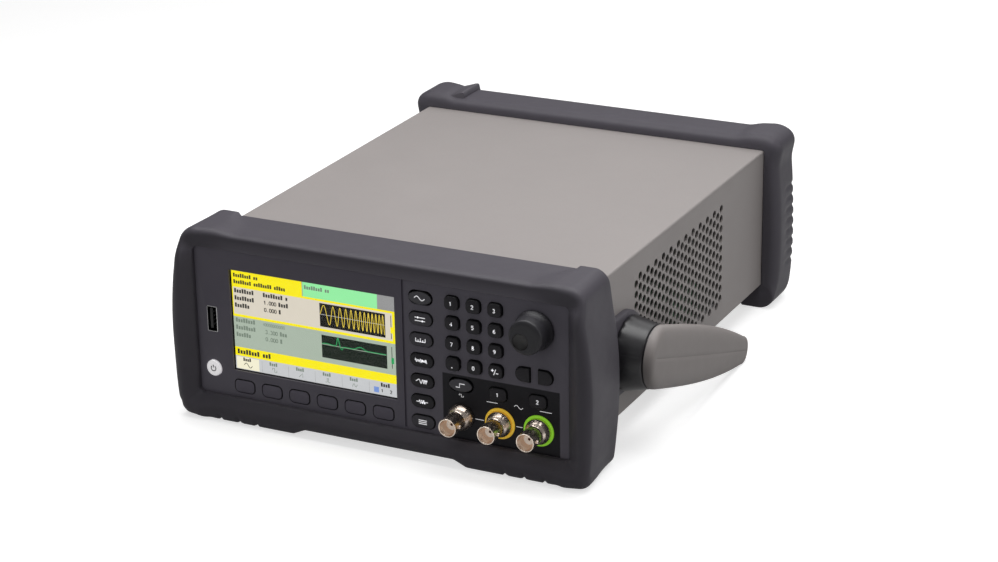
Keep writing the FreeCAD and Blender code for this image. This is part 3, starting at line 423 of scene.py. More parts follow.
def softened(profile, radius=0.3, steps=3):
    """Profile with each convex or concave corner rounded off."""
    result = [profile[0]]
    for before, corner, after in zip(profile, profile[1:], profile[2:]):
        corner_v = Vector(corner)
        back, on = Vector(before) - corner_v, Vector(after) - corner_v
        reach = min(radius, back.length * 0.45, on.length * 0.45)
        start, end = corner_v + back.normalized() * reach, corner_v + on.normalized() * reach
        for i in range(steps + 1):
            t = i / steps
            point = start * (1 - t) ** 2 + corner_v * 2 * t * (1 - t) + end * t ** 2
            result.append(tuple(point))
    result.append(profile[-1])
    return result


def rounded_path(corners, step=2.0, arc_step=8.0):
    """Closed path through (a, b, radius) corners, sampled along its lines and arcs."""
    spots = [Vector(corner[:2]) for corner in corners]
    bends = []
    for i, here in enumerate(spots):
        radius = corners[i][2]
        if not radius:
            bends.append([here])
            continue
        back = (spots[i - 1] - here).normalized()
        on = (spots[(i + 1) % len(spots)] - here).normalized()
        half = back.angle(on) / 2
        centre = here + (back + on).normalized() * radius / math.sin(half)
        first, last = (here + way * radius / math.tan(half) - centre for way in (back, on))
        turn = first.angle_signed(last)
        steps = max(2, int(abs(math.degrees(turn)) / arc_step))
        bends.append([Matrix.Rotation(-turn * k / steps, 2) @ first + centre for k in range(steps + 1)])
    path = []
    for bend, following in zip(bends, bends[1:] + bends[:1]):
        gap = following[0] - bend[-1]
        count = int(gap.length / step)
        path += bend + [bend[-1] + gap * (k / (count + 1)) for k in range(1, count + 1)]
    return path


def soft_rectangle(x, z, width, height, radius, arc_step=12.0, step=50.0):
    """Rounded rectangle about a centre, as a path of (x, z)."""
    a, b = width / 2, height / 2
    corners = [(x - a, z - b, radius), (x + a, z - b, radius),
               (x + a, z + b, radius), (x - a, z + b, radius)]
    return rounded_path(corners, step, arc_step)


def inset(path, distance):
    """Parallel of a closed path, further in for a positive distance."""
    area = sum(a.x * b.y - b.x * a.y for a, b in zip(path, path[1:] + path[:1]))
    sign = 1 if area > 0 else -1
    result = []
    for before, here, after in zip(path[-1:] + path[:-1], path, path[1:] + path[:1]):
        along = (after - before).normalized()
        result.append(here + Vector((-along.y, along.x)) * distance * sign)
    return result


def slab(path, front, back, edge=0.0, steps=3):
    """Plate across Y with the path as its outline and a rounded front edge."""
    rows = [ring_at(path, back)]
    for i in range(steps + 1 if edge else 1):
        t = math.pi / 2 * i / steps if edge else 0
        ring = inset(path, edge * (1 - math.cos(t))) if edge else path
        rows.append(ring_at(ring, front + edge * (1 - math.sin(t))))
    return capped(rows)


def stroke(points, width, front, back):
    """Raised line along (x, z) points."""
    left, right = [], []
    for i, here in enumerate(points):
        before, after = points[max(i - 1, 0)], points[min(i + 1, len(points) - 1)]
        along = Vector((after[0] - before[0], after[1] - before[1])).normalized()
        side = Vector((-along.y, along.x)) * width / 2
        left.append(Vector(here) + side)
        right.append(Vector(here) - side)
    return slab(left + right[::-1], front, back)


# ---- bumpers

FRONT_LOW, FRONT_HIGH = case_box("front_bumper")
REAR_LOW, REAR_HIGH = case_box("rear_bumper")
FOOT = FRONT_LOW.z
RUBBER_CORNER_TOP = FRONT_HIGH.z
PAD_RISE = 1.8
RUBBER_TOP = RUBBER_CORNER_TOP - PAD_RISE
FRONT_LIP = 32.0
FOOT_INNER = 50.0
UNDERSIDE_RISE = 3.2
BOW_STARTS = 88.0
EAR_REACH = 17.0


def bumper_path(half_width, bow, bow_z, bow_span, low_span, top_round, low_round, ear):
    """A bumper's outer outline: bowed sides, round corners, two feet."""
    top, foot, rise = RUBBER_CORNER_TOP, FOOT, FOOT + UNDERSIDE_RISE
    corners = [(0, top, 0), (half_width, top, top_round), (half_width, foot, low_round),
               (FOOT_INNER, foot, 4), (FOOT_INNER - 7, rise, 4), (0, rise, 0)]
    full = corners + [(-x, z, r) for x, z, r in corners[1:-1]][::-1]
    shaped = []
    for p in rounded_path(full, step=1.2, arc_step=6.0):
        span = bow_span if p.y > bow_z else low_span
        swell = bow * max(0.0, 1 - ((p.y - bow_z) / span) ** 2)
        swell *= smooth_step(BOW_STARTS, half_width - 2, abs(p.x))
        swell += ear * bump_at(math.hypot(abs(p.x) - half_width + 3, p.y - top + 4), 0, EAR_REACH)
        shaped.append(Vector((p.x + math.copysign(swell, p.x), p.y)))
    return shaped


def nearest_on_opening(p, half_width, low, high, radius):
    """Point of a rounded rectangle nearest to an outline point."""
    core = Vector((min(max(p.x, radius - half_width), half_width - radius),
                   min(max(p.y, low + radius), high - radius)))
    return core + (p - core).normalized() * radius


# Rounded rectangles: half width, lowest and highest z, corner radius.
OPENING = (106.0, 0.0, 80.6, 2.5)
SLEEVE_EDGE = (CASE_HALF, 0.0, CASE_HEIGHT, 1.5)
# From the first value of |x| or z to the second the section becomes that of the side, of the
# bottom, of a corner and of a lower corner.
SIDE_X, CORNER_X, LOW_CORNER_X = (94, 106), (80, 114), (103, 111)
BELOW_Z, LOW_CORNER_Z, LOW_LIP_Z = (4, -6), (-3, -9), (-8, 4)
DISH_DEPTH = 4.8
PROUD_OF_PANEL = 0.7

# The front bumper's top leans back between these heights, less so at its corners.
RAKE_BACK = 1.4
RAKE_HEIGHTS = (72.0, 88.0)
RAKE_AT_CORNER = 0.6
RAKE_ROUND = 4.5
RAKE_CREST = 0.3


def quarter(start, end, level_start, level_end, steps):
    """Quarter ellipse from a side wall (start) round to a face (end), with its levels."""
    turns = [math.pi / 2 * k / steps for k in range(steps + 1)]
    return [(start.lerp(end, 1 - math.cos(t)), level_start + (level_end - level_start) * math.sin(t))
            for t in turns]


def bumper_shell(path, face, back, panel, lip_round, shape, rake=0.0):
    """Ring of rubber from the outer path to the opening.  face is the level of its crest, back
    the level of the lip on the sleeve, panel the level of the panel it frames.  Inside the
    crest the face slopes back to the opening's edge.  A rake sets the top's crest back."""
    way = 1 if back > face else -1
    rows = []
    for p in path:
        edge = nearest_on_opening(p, *OPENING)
        wall = nearest_on_opening(p, *SLEEVE_EDGE)
        side = smooth_step(*SIDE_X, abs(p.x))
        below = smooth_step(*BELOW_Z, p.y) * (1 - side)
        corner = smooth_step(*CORNER_X, abs(p.x))
        low_corner = smooth_step(*LOW_CORNER_X, abs(p.x)) * smooth_step(*LOW_CORNER_Z, p.y)
        lean = smooth_step(*RAKE_HEIGHTS, p.y) * blend(1.0, RAKE_AT_CORNER, corner) if rake else 0.0

        crest_level = blend(face + way * (1 - side), face + rake, lean)
        round_along = blend(6.5 - 2.5 * max(side, below) + 3.0 * low_corner, RAKE_ROUND, lean)
        crest = p.lerp(edge, blend(0.5 + 0.12 * below, RAKE_CREST, lean))
        dish = blend(face + way * DISH_DEPTH, panel - way * PROUD_OF_PANEL, lean)
        lip = min(1.5 + (lip_round - 1.5) * smooth_step(*LOW_LIP_Z, p.y), 0.7 * (wall - p).length)
        lip_point = p + (wall - p).normalized() * lip
        lip_level, start = back - way * lip, crest_level + way * round_along

        section = [(wall, panel), (wall, back - way * 0.8), (wall.lerp(lip_point, 0.1), back)]
        section += quarter(p, lip_point, lip_level, back, 6)[::-1]
        section += [(p, blend(lip_level, start, k / 12)) for k in range(1, 12)]
        section += quarter(p, crest, start, crest_level, 8)
        section += [(crest.lerp(edge, k / 6), blend(crest_level, dish, (k / 6) ** 1.35)) for k in range(1, 7)]
        section += [(edge, dish + way * 0.4), (edge, panel)]
        rows.append([at(*shape(q.x, y, q.y)) for q, y in section])
    return lattice(rows, close_rows=True)


FOOT_GROOVES = (71.5, 82.0, 93.5)
PAD_EDGE = 97.0


def middle_drop(x, reach):
    """How far the top's middle lies under its corner pads, over a reach of x."""
    return PAD_RISE * (1 - smooth_step(PAD_EDGE - reach, PAD_EDGE + 1, abs(x)))


def foot_groove(x, z):
    if z > FOOT + 4:
        return 0.0
    return 1.5 * max(bump_at(abs(x), groove, 1.6) for groove in FOOT_GROOVES)


def share_of_pad(z):
    """0 at the sleeve's top and 1 at the rubber's, for what only the rubber above it does."""
    return min((z - CASE_HEIGHT) / (RUBBER_CORNER_TOP - CASE_HEIGHT), 1.0)


def front_bumper_shape(x, y, z):
    """Corner pads step down crisply at the rear edge and fade towards the front."""
    if z > CASE_HEIGHT:
        share = share_of_pad(z)
        z -= middle_drop(x, 1.5 + 14 * smooth_step(31, 12, y)) * share
        z -= 0.7 * bump_at(abs(x), PAD_EDGE - 0.5, 1.3) * smooth_step(24, 29, y) * share
    flare = 0.9 + 0.9 * smooth_step(25, -8, z)
    x += math.copysign(flare * (1 - smooth_step(0, 25, y)) * smooth_step(104, 111, abs(x)), x)
    return x, y, z + foot_groove(x, z)


SIDE_RIBS = [10.5 + 6.4 * k for k in range(8)]


def rear_bumper_shape(x, y, z):
    """Corner pads, grooves under the feet and short ribs on the rear edge of both sides."""
    if z > CASE_HEIGHT:
        z -= middle_drop(x, 9.0) * share_of_pad(z)
    if abs(x) > 108:
        depth = 0.9 * max(bump_at(z, rib, 2.2) for rib in SIDE_RIBS) * smooth_step(268, 276, y)
        x -= math.copysign(depth, x)
    return x, y, z + foot_groove(x, z)


TAB_X = (-95.0, -84.0)
TAB_Y = (262.0, 284.0)


def rear_latch_tab():
    """Small ramped tab on the rear bumper's top."""
    (low, high), (front, back), foot = TAB_X, TAB_Y, RUBBER_TOP - 1
    rows = []
    for x, rise in ((low, 0.3), (low + 1, 0.7), (high - 2.4, 3.2), (high - 1.2, 3.4), (high - 0.5, 3.0),
                    (high, 0.3)):
        top = RUBBER_TOP + rise
        section = [(front, foot), (front + 0.6, top - 0.3), (front + 1.4, top),
                   (back - 1.4, top), (back - 0.6, top - 0.3), (back, foot)]
        rows.append([at(x, y, z) for y, z in section])
    return capped(rows)


def hinge_of(name):
    joint = next(j for j in frame["joints"] if j["name"] == name)
    return (Vector(joint["pos_m"]) - CASE_ORIGIN) / MM


HINGE = hinge_of("handle_swing")
HUB = (HINGE.y, HINGE.z)
HUB_FACE = 110.0


def hub_tongue(side):
    """Rubber tongue that runs back from the front bumper round the handle's hub."""
    hub_y, hub_z = HUB
    reach = FRONT_HIGH.y - hub_y
    corners = [(26, hub_z - reach - 9, 0), (34, hub_z - reach - 8, 3), (46, hub_z - reach + 0.6, 12),
               (hub_y + reach, hub_z - reach, reach - 0.2), (hub_y + reach, hub_z + reach, reach - 0.2),
               (26, hub_z + reach + 1.5, 0)]
    path = rounded_path(corners, step=3.0, arc_step=6.0)
    rows = []
    for depth, level in ((0, CASE_HALF), (0, HUB_FACE - 1.0), (0.3, HUB_FACE - 0.3), (1.0, HUB_FACE)):
        rows.append([at(side * level, p.x, p.y) for p in inset(path, depth)])
    return capped(rows)


def build_bumpers():
    path = bumper_path(half_width=111.0, bow=7.6, bow_z=33.0, bow_span=56.0, low_span=66.0,
                       top_round=6.5, low_round=5.0, ear=1.0)
    shell = bumper_shell(path, FRONT_LOW.y, FRONT_LIP, 0.0, 2.0, front_bumper_shape,
                         RAKE_BACK - FRONT_LOW.y)
    piece("front_bumper_moulding", "case", "bumper_rubber",
          [shell, hub_tongue(LEFT), hub_tongue(RIGHT)], ["front_bumper"], 50)
    path = bumper_path(half_width=110.6, bow=5.7, bow_z=25.0, bow_span=75.0, low_span=52.0,
                       top_round=10.0, low_round=8.0, ear=3.6)
    shell = bumper_shell(path, REAR_HIGH.y, REAR_LOW.y, case_box("rear_panel")[1].y, 6.0,
                         rear_bumper_shape)
    piece("rear_bumper_moulding", "case", "bumper_rubber", [shell, rear_latch_tab()],
          ["rear_bumper"], 50)


# ---- keys

# A cap is narrower than its node all round by the hidden lip that holds it; low keys have the
# lip at their sides only.
KEY_LIP = 0.8
LOW_KEY = 7.2
KEY_CROWN = 0.25
KEY_SHOULDER = 0.5
KEY_BACK = 3.4
CORNER_OF_KEY = {"softkey": 2.5, "number": 2.4, "channel": 2.4, "point": 2.4, "sign": 2.4}


def key_path(node):
    """A key cap's outline in case coordinates, from its node's box and kind."""
    x, z, width, height = face_of(node)
    width -= 2 * KEY_LIP
    if node == "power_button":
        return [Vector(p) for p in arc(x, z, width / 2, 0, 352.5, 47)]
    if height >= LOW_KEY:
        height -= 2 * KEY_LIP
    if node.endswith("arrow_key"):
        side = LEFT if node.startswith("left") else RIGHT
        half = height / 2
        inner, shoulder = x - side * width / 2, x + side * (width / 2 - half)
        start = -90 if side == RIGHT else 90
        sweep = arc(shoulder, z, half, start, start + 180, 14)
        return [Vector(p) for p in sweep + [(inner, z + side * half), (inner, z - side * half)]]
    if node in GREY_KEYS:
        turns = [2 * math.pi * k / 56 for k in range(56)]
        return [Vector((x + width / 2 * math.cos(t), z + height / 2 * math.sin(t))) for t in turns]
    radius = CORNER_OF_KEY.get(node.split("_")[0], min(width, height) / 2 - 0.1)
    return soft_rectangle(x, z, width, height, radius)


def crowned_cap(path, front, back, crown):
    """Key cap with soft shoulders and a crowned face."""
    centre = sum(path, Vector((0, 0))) / len(path)
    top, steps = front + crown, 4
    rows = [ring_at(path, back), ring_at(path, top + KEY_SHOULDER)]
    for k in range(1, steps + 1):
        t = math.pi / 2 * k / steps
        rows.append(ring_at(inset(path, 0.55 * (1 - math.cos(t))), top + KEY_SHOULDER * (1 - math.sin(t))))
    shoulder = inset(path, 0.55)
    for scale in (0.85, 0.65, 0.4, 0.15):
        rise = crown * (1 - (scale / 0.95) ** 2)
        rows.append(ring_at([centre.lerp(p, scale) for p in shoulder], top - rise))
    return capped(rows)


GLYPHS = {
    "1": [[(-1, 1.2), (0, 2), (0, -2)]],
    "2": [[(-1.1, 1.2), (-0.6, 1.9), (0.6, 1.9), (1.1, 1.1), (0.9, 0.3), (-1.1, -2), (1.2, -2)]],
    "3": [[(-1, 1.7), (0.4, 2), (1.1, 1.2), (0.3, 0.1), (1.2, -1), (0.4, -2), (-1.1, -1.7)]],
    "4": [[(0.6, -2), (0.6, 2), (-1.2, -0.7), (1.3, -0.7)]],
    "5": [[(1.1, 2), (-0.9, 2), (-1, 0.3), (0.4, 0.5), (1.2, -0.6), (0.5, -1.9), (-1.1, -1.8)]],
    "6": [[(0.9, 1.9), (-0.5, 1.2), (-1.1, -0.6), (-0.4, -1.9), (0.7, -1.9), (1.2, -0.8), (0.5, 0.2),
           (-0.9, -0.2)]],
    "7": [[(-1.1, 2), (1.2, 2), (-0.2, -2)]],
    "8": [[(0, 0.1), (-0.9, 1), (-0.5, 1.9), (0.5, 1.9), (0.9, 1), (-1.1, -0.9), (-0.6, -1.9),
           (0.6, -1.9), (1.1, -0.9), (0, 0.1)]],
    "9": [[(0.9, 0.4), (-0.4, -0.1), (-1.1, 0.8), (-0.7, 1.8), (0.4, 2), (1.1, 1), (0.9, -0.8),
           (-0.3, -2)]],
    "0": [[(0, 2), (-0.9, 1.5), (-1.1, 0), (-0.9, -1.5), (0, -2), (0.9, -1.5), (1.1, 0), (0.9, 1.5),
           (0, 2)]],
    "point": [[(-0.35, -1.7), (0.35, -1.7)]],
    "sign": [[(-2.1, 0.9), (-0.5, 0.9)], [(-1.3, 1.7), (-1.3, 0.1)], [(-0.6, -1.6), (0.6, 1.6)],
             [(0.6, -0.6), (2.0, -0.6)]],
    "sine": [[(-3 + 0.5 * i, 1.1 * math.sin(math.pi * i / 6)) for i in range(13)]],
    "sliders": [[(-3, 0.9), (3, 0.9)], [(-3, -0.9), (3, -0.9)], [(-1.2, 1.5), (-1.2, 0.3)],
                [(1.4, -0.3), (1.4, -1.5)]],
    "scale": [[(-2.8, -0.9), (2.8, -0.9)], [(-2.8, -0.9), (-2.8, 1)], [(-1.4, -0.9), (-1.4, 0.2)],
              [(0, -0.9), (0, 1)], [(1.4, -0.9), (1.4, 0.2)], [(2.8, -0.9), (2.8, 1)]],
    "modulate": [[(-3.4 + 0.2 * i, (0.5 + 0.7 * math.cos(math.pi * i / 17) ** 2)
                   * math.sin(math.pi * i / 2.5)) for i in range(35)]],
    "sweep": [[(-3.4 + 0.17 * i, 1.1 * math.sin(0.0045 * math.pi * i * i)) for i in range(40)]],
    "burst": [[(-3.4, 0), (-1.8, 0)] + [(-1.8 + 0.2 * i, 1.1 * math.sin(math.pi * i / 3))
                                       for i in range(19)] + [(3.4, 0)]],
    "system": [[(-2.4, 1), (2.4, 1)], [(-2.4, 0), (2.4, 0)], [(-2.4, -1), (2.4, -1)]],
    "trigger": [[(-2.6, -1), (-0.4, -1), (-0.4, 1.1), (2.6, 1.1)]],
    "square": [[(-1.6, 0), (-1.6, 1), (0, 1), (0, -1), (1.6, -1), (1.6, 0)]],
    "ramp": [[(-1.6, -1), (1.2, 1), (1.2, -1)]],
    "pulse_shape": [[(-1.8, -1), (-0.5, -1), (-0.5, 1), (0.4, 1), (0.4, -1), (1.8, -1)]],
    "arc_shape": [[(-1.8, -0.8), (-1.1, 0.6), (-0.5, 0.8), (0.2, -0.4), (0.9, -0.8), (1.8, 0.5)]],
    "power": [[(1.15 * math.sin(t), 1.15 * math.cos(t)) for t in
               (math.radians(35 + 290 * i / 16) for i in range(17))], [(0, 0.3), (0, 1.6)]],
}
KEY_MARKS = {"waveform_key": "sine", "parameter_key": "sliders", "units_key": "scale",
             "modulate_key": "modulate", "sweep_key": "sweep", "burst_key": "burst",
             "system_key": "system", "trigger_key": "trigger", "channel_1_key": "1",
             "channel_2_key": "2", "point_key": "point", "sign_key": "sign", "power_button": "power"}
KEY_MARKS.update({f"number_key_{d}": str(d) for d in range(10)})
GREY_KEYS = ("waveform_key", "trigger_key")
SOFT_KEYS = ("parameter_key", "units_key", "system_key")


def marks(kind, x, z, front, back, scale=1.0, width=0.42, tall=None):
    """Raised print of one generic mark."""
    tall = tall or scale
    return [stroke([(x + a * scale, z + b * tall) for a, b in line], width, front, back)
            for line in GLYPHS[kind]]


def key_look(node):
    if node.startswith("softkey"):
        return "panel_key"
    if node in GREY_KEYS:
        return "grey_key_rubber"
    if node in SOFT_KEYS:
        return "soft_key_rubber"
    return "power_key" if node == "power_button" else "key_rubber"


def build_keys():
    keys = [n for n in frame["nodes"] if n.startswith("softkey") or n.endswith("_key")
            or n.startswith("number_key") or n == "power_button"]
    for node in sorted(keys):
        path, front = key_path(node), case_box(node)[0].y
        parts = [crowned_cap(path, front, KEY_BACK, KEY_CROWN)]
        if node in KEY_MARKS:
            mark = KEY_MARKS[node]
            centre = sum(path, Vector((0, 0))) / len(path)
            ink, size = ("socket_dark", 1.25) if mark == "power" else ("print_white", 0.95)
            if len(mark) == 1:
                size = 0.48
            parts += [(*mesh, ink) for mesh in
                      marks(mark, centre.x, centre.y, front - 0.06, front + 0.3, size, 0.46)]
        piece(f"{node}_cap", node, key_look(node), parts, [node], 40)


# ---- handle

ARM_ANGLE = math.radians(19.2)
ARM_REACH = 124.2
ARM_HUB_HALF = 16.4
ARM_TIP_HALF = 8.0
BARREL_RADIUS = 19.6
BARREL_END = 16.6
BARREL_TEETH = 20
BARREL_STEPS = 240
ARM_FACE = 124.4
COVER_FACE = 125.3
COVER_OUTER = 130.55
COVER_TIP = 127.0
# Sections of the cover from its rim in towards its spine.
COVER_SHARES = (1.0, 0.985, 0.96, 0.93, 0.89, 0.84, 0.77, 0.68, 0.56, 0.42, 0.27, 0.14, 0.05, 0.025, 0.0)
PIVOT_RADIUS = 8.3
PIVOT_HEAD = 11.3


def on_arm(x, along, across):
    """Point of the folded handle from distances along and across its arm."""
    return at(x, HUB[0] + along * math.cos(ARM_ANGLE) + across * math.sin(ARM_ANGLE),
              HUB[1] - along * math.sin(ARM_ANGLE) + across * math.cos(ARM_ANGLE))


def arm_path():
    """Side view of the arm as (along, across) points: round hub, belly, blunt tip."""
    def half(along):
        return ARM_HUB_HALF - (ARM_HUB_HALF - ARM_TIP_HALF) * (along / ARM_REACH) ** 2.8

    stations = [ARM_REACH * k / 24 for k in range(1, 24)]
    path = [Vector(p) for p in arc(0, 0, ARM_HUB_HALF, 90, 270, 36)]
    path += [Vector((along, -half(along))) for along in stations]
    tip_steps = 14
    for k in range(tip_steps + 1):
        t = math.radians(-90 + 180 * k / tip_steps)
        along = ARM_REACH + ARM_TIP_HALF * max(math.cos(t), 0.0) ** 0.8
        across = math.copysign(ARM_TIP_HALF * abs(math.sin(t)) ** 0.9, math.sin(t))
        path.append(Vector((along, across)))
    return path + [Vector((along, half(along))) for along in stations[::-1]]


def cover_height(along):
    """How far the cover stands off the arm: full at the hub, thin at the tip."""
    share = min(max((along - ARM_HUB_HALF) / ARM_REACH, 0.0), 1.0)
    return COVER_OUTER - COVER_FACE - (COVER_OUTER - COVER_TIP) * (0.96 * share ** 2 + 0.04 * share)


def cover_pillow(side):
    """Soft cover: rounded shoulders, a crowned face and the mould's parting line."""
    path = arm_path()
    rows = [[on_arm(side * COVER_FACE, p.x, p.y) for p in path]]
    for r in COVER_SHARES:
        ring = []
        for p in path:
            spine = Vector((min(max(p.x, -12.0), ARM_REACH + 5.0), 0.0))
            q = spine + (p - spine) * r
            rise = max(1 - r ** 6, 0.0) ** 0.42
            height = 0.4 + (cover_height(q.x) - 0.4) * (0.9 * rise + 0.1 * (1 - r * r))
            height -= 0.22 * (1 - smooth_step(0.0, 0.05, r))
            ring.append(on_arm(side * (COVER_FACE + height), q.x, q.y))
        rows.append(ring)
    points, faces = lattice(rows)
    faces.append(list(range(len(path))))
    return points, faces


def arm_layer(side):
    """Arm plate behind the cover, open at the hub for the pivot's head."""
    rows = []
    path = inset(arm_path(), 0.3)
    for p in path:
        hole = p.normalized() * PIVOT_HEAD
        edge = p.normalized() * 0.35
        section = [(hole, ARM_FACE), (p - edge, ARM_FACE), (p, ARM_FACE + 0.4), (p, COVER_FACE - 0.2),
                   (p - edge, COVER_FACE), (hole, COVER_FACE)]
        rows.append([on_arm(side * x, q.x, q.y) for q, x in section])
    return lattice(rows, close_rows=True)


def barrel(side):
    """Glossy hub barrel with a scalloped inner rim, open for the pivot."""
    rows = []
    for k in range(BARREL_STEPS):
        t = 2 * math.pi * k / BARREL_STEPS
        tooth = 0.3 * bump_at((k * BARREL_TEETH / BARREL_STEPS) % 1.0, 0.5, 0.42)
        seam = 0.12 * bump_at(math.degrees(t), 180.0, 2.0)
        out = BARREL_RADIUS - seam
        end = BARREL_END - seam
        section = [(PIVOT_RADIUS, 110.1), (out - 1.2, 110.1), (out - 0.5 - tooth, 110.3),
                   (out - 0.1 - tooth, 110.8), (out - tooth, 111.6), (out - 0.3, 112.4),
                   (out - 0.9, 115.0), (out - 1.8, 119.0), (end + 0.2, ARM_FACE - 1.0),
                   (end, ARM_FACE - 0.3), (end - 0.3, ARM_FACE), (PIVOT_HEAD, ARM_FACE),
                   (PIVOT_HEAD, ARM_FACE - 0.5), (PIVOT_RADIUS, ARM_FACE - 0.5)]
        rows.append([on_arm(side * x, radius * math.cos(t), radius * math.sin(t)) for radius, x in section])
    return lattice(rows, close_rows=True)


BAR_HALF_LONG = 7.0
BAR_HALF_SHORT = 4.0
BAR_DROP = 0.9


def bar_section(x, half_long, half_short, power=2.6):
    """Superelliptic section of the crossbar at x."""
    ring = []
    for k in range(40):
        t = 2 * math.pi * k / 40
        a, b = math.cos(t), math.sin(t)
        ring.append(on_arm(x, ARM_REACH + math.copysign(half_long * abs(a) ** (2 / power), a),
                           math.copysign(half_short * abs(b) ** (2 / power), b) - BAR_DROP))
    return ring


def crossbar():
    """Bar between the arms, swelling into a fillet at both ends."""
    ends = (110, 115, 119, 121.5, 122.7, ARM_FACE)
    rows = []
    for x in [-x for x in ends[::-1]] + [-60, 0, 60] + list(ends):
        swell = 1.6 * smooth_step(112, ARM_FACE, abs(x)) ** 2
        rows.append(bar_section(x, BAR_HALF_LONG + swell * 0.2, BAR_HALF_SHORT + swell))
    return capped(rows)


GRIP_HALF = 70.0
GRIP_END_ROUND = 2.0
FINGER_PITCH = 6.2


def grip_sleeve():
    """Soft grip with rounded ends and shallow finger rings."""
    steps = 112
    rows = []
    for k in range(steps + 1):
        x = -GRIP_HALF + 2 * GRIP_HALF * k / steps
        end = min(GRIP_HALF - abs(x), GRIP_END_ROUND) / GRIP_END_ROUND
        skin = 0.9 * math.sqrt(max(1 - (1 - end) ** 2, 0.0)) + 0.02
        if abs(x) < 10 * FINGER_PITCH:
            skin -= 0.3 * bump_at((x / FINGER_PITCH) % 1.0, 0.5, 0.2)
        rows.append(bar_section(x, BAR_HALF_LONG + skin, BAR_HALF_SHORT + skin))
    return capped(rows)


def build_handle():
    sides = (LEFT, RIGHT)
    piece("handle_moulding", "swivel_handle", "handle_black",
          [arm_layer(s) for s in sides] + [barrel(s) for s in sides] + [crossbar()], ["handle_frame"])
    piece("handle_soft_covers", "swivel_handle", "handle_grey", [cover_pillow(s) for s in sides],
          ["handle_side_covers"])
    piece("handle_grip_sleeve", "swivel_handle", "handle_grey", [grip_sleeve()], ["handle_grip"])


# ---- knob and connectors

DIMPLE = Vector((-2.3, -2.2))
DIMPLE_RADIUS = 4.3
DIMPLE_SINK = 1.7
KNOB_STEPS = 96


def build_knob():
    """Knob with a conical ribbed side and a spherical finger dimple in its face."""
    x, z, width, _ = face_of("tuning_knob")
    face, back = (corner.y for corner in case_box("tuning_knob"))
    base, rim = width / 2, width / 2 - 2.6
    profile = [(base, back), (base, back - 1.4), (base - 0.2, back - 1.9), (base - 0.7, back - 2.4),
               (base - 1.1, face + 6), (base - 1.3, face + 1.8), (base - 1.5, face + 0.9),
               (base - 1.9, face + 0.35), (rim, face)]
    turns = [Vector((math.cos(t), math.sin(t)))
             for t in (2 * math.pi * k / KNOB_STEPS for k in range(KNOB_STEPS))]
    rows = []
    for radius, y in profile:
        rib = 0.12 if face + 1 < y < back - 2 else 0.0
        ring = [turn * (radius - rib * (k % 2)) for k, turn in enumerate(turns)]
        rows.append(ring_at(ring, y, x, z))
    hollow = [turn * DIMPLE_RADIUS + DIMPLE for turn in turns]
    for share in (0.33, 0.66, 1.0):
        ring = [(turn * rim).lerp(b, share) for turn, b in zip(turns, hollow)]
        rows.append(ring_at(ring, face, x, z))
    bowl = [rows[-1]]
    for share in (0.97, 0.9, 0.8, 0.66, 0.5, 0.33, 0.16):
        sink = DIMPLE_SINK * math.sqrt(1 - share ** 2)
        ring = [DIMPLE.lerp(p, share) for p in hollow]
        bowl.append(ring_at(ring, face + sink, x, z))
    points, faces = lattice(bowl)
    faces.append([(len(bowl) - 1) * KNOB_STEPS + k for k in range(KNOB_STEPS)])
    shell, shell_faces = lattice(rows)
    shell_faces.append(list(range(KNOB_STEPS)))
    # the dimple's faces take the darker dimple surface as painted shade
    piece("tuning_knob_cap", "tuning_knob", "knob_plastic",
          [(shell, shell_faces), (points, faces, "knob_dimple")], ["tuning_knob"], 50)


JACK_LENGTH = 16.2
BARREL = 4.85
BORE = 4.05
FLANGE = 6.8
LUG_RADIUS = 0.95
THREAD = 5.5
NUT_BORE = 5.6
SHELL_BACK = 12.0
NUT_RADIUS = 7.6
NUT_HEIGHT = 2.2
NUT_BEVEL = 0.3
NUT_STEPS = 12

RING_X = (face_of("channel_1_ring")[0], face_of("channel_2_ring")[0])
RING_Z = face_of("channel_1_ring")[1]
JACK_PITCH = RING_X[1] - RING_X[0]
SYNC_X = RING_X[0] - JACK_PITCH
REAR_JACKS = (62.0, 86.0)
REAR_JACK_Z = 52.0


def jack_places():
    """(centre on the panel, which way its inside lies along y) of the five jacks."""
    rear_face = case_box("rear_panel")[1].y
    return ([((x, 0.0, RING_Z), 1) for x in (SYNC_X, *RING_X)]
            + [((x, rear_face, REAR_JACK_Z), -1) for x in REAR_JACKS])


def facing(profile, way):
    """Profile drawn for a front jack, turned round for one that faces backwards."""
    return [(radius, along * way) for radius, along in profile]


def jack_shell(place, way):
    """Barrel with its bayonet groove, flange and thread, two lugs and the nut behind the panel."""
    nose = -JACK_LENGTH
    profile = softened([
        (BORE, -5.0), (BORE, nose + 0.4), (BORE + 0.3, nose), (BARREL - 0.15, nose),
        (BARREL, nose + 0.35), (BARREL, nose + 8.5), (BARREL - 0.45, nose + 8.9),
        (BARREL - 0.45, nose + 10.4), (BARREL - 0.1, -5.2), (5.6, -4.2), (FLANGE - 0.15, -2.2),
        (FLANGE, -1.6), (FLANGE, -0.02), (THREAD, -0.02), (THREAD, SHELL_BACK), (BORE, SHELL_BACK),
        (BORE, -5.0)],
        0.25, 2)[:-1]
    parts = [turned(facing(profile, way), at(*place), segments=56)]
    lug = softened([(0.0, 0.9), (LUG_RADIUS, 0.9), (LUG_RADIUS, 0.0), (LUG_RADIUS, -0.3), (0.0, -0.3)], 0.25)
    spot = at(place[0], place[1] - way * (JACK_LENGTH - 4), place[2])
    for side in (LEFT, RIGHT):
        parts.append(turned([(r, side * (BARREL + d)) for r, d in lug], spot, axis="x", segments=20))
    panel = 3.2 if way == 1 else 1.5
    return parts + [nut(Vector((place[0], place[2])), place[1] + way * panel,
                        place[1] + way * (panel + NUT_HEIGHT))]


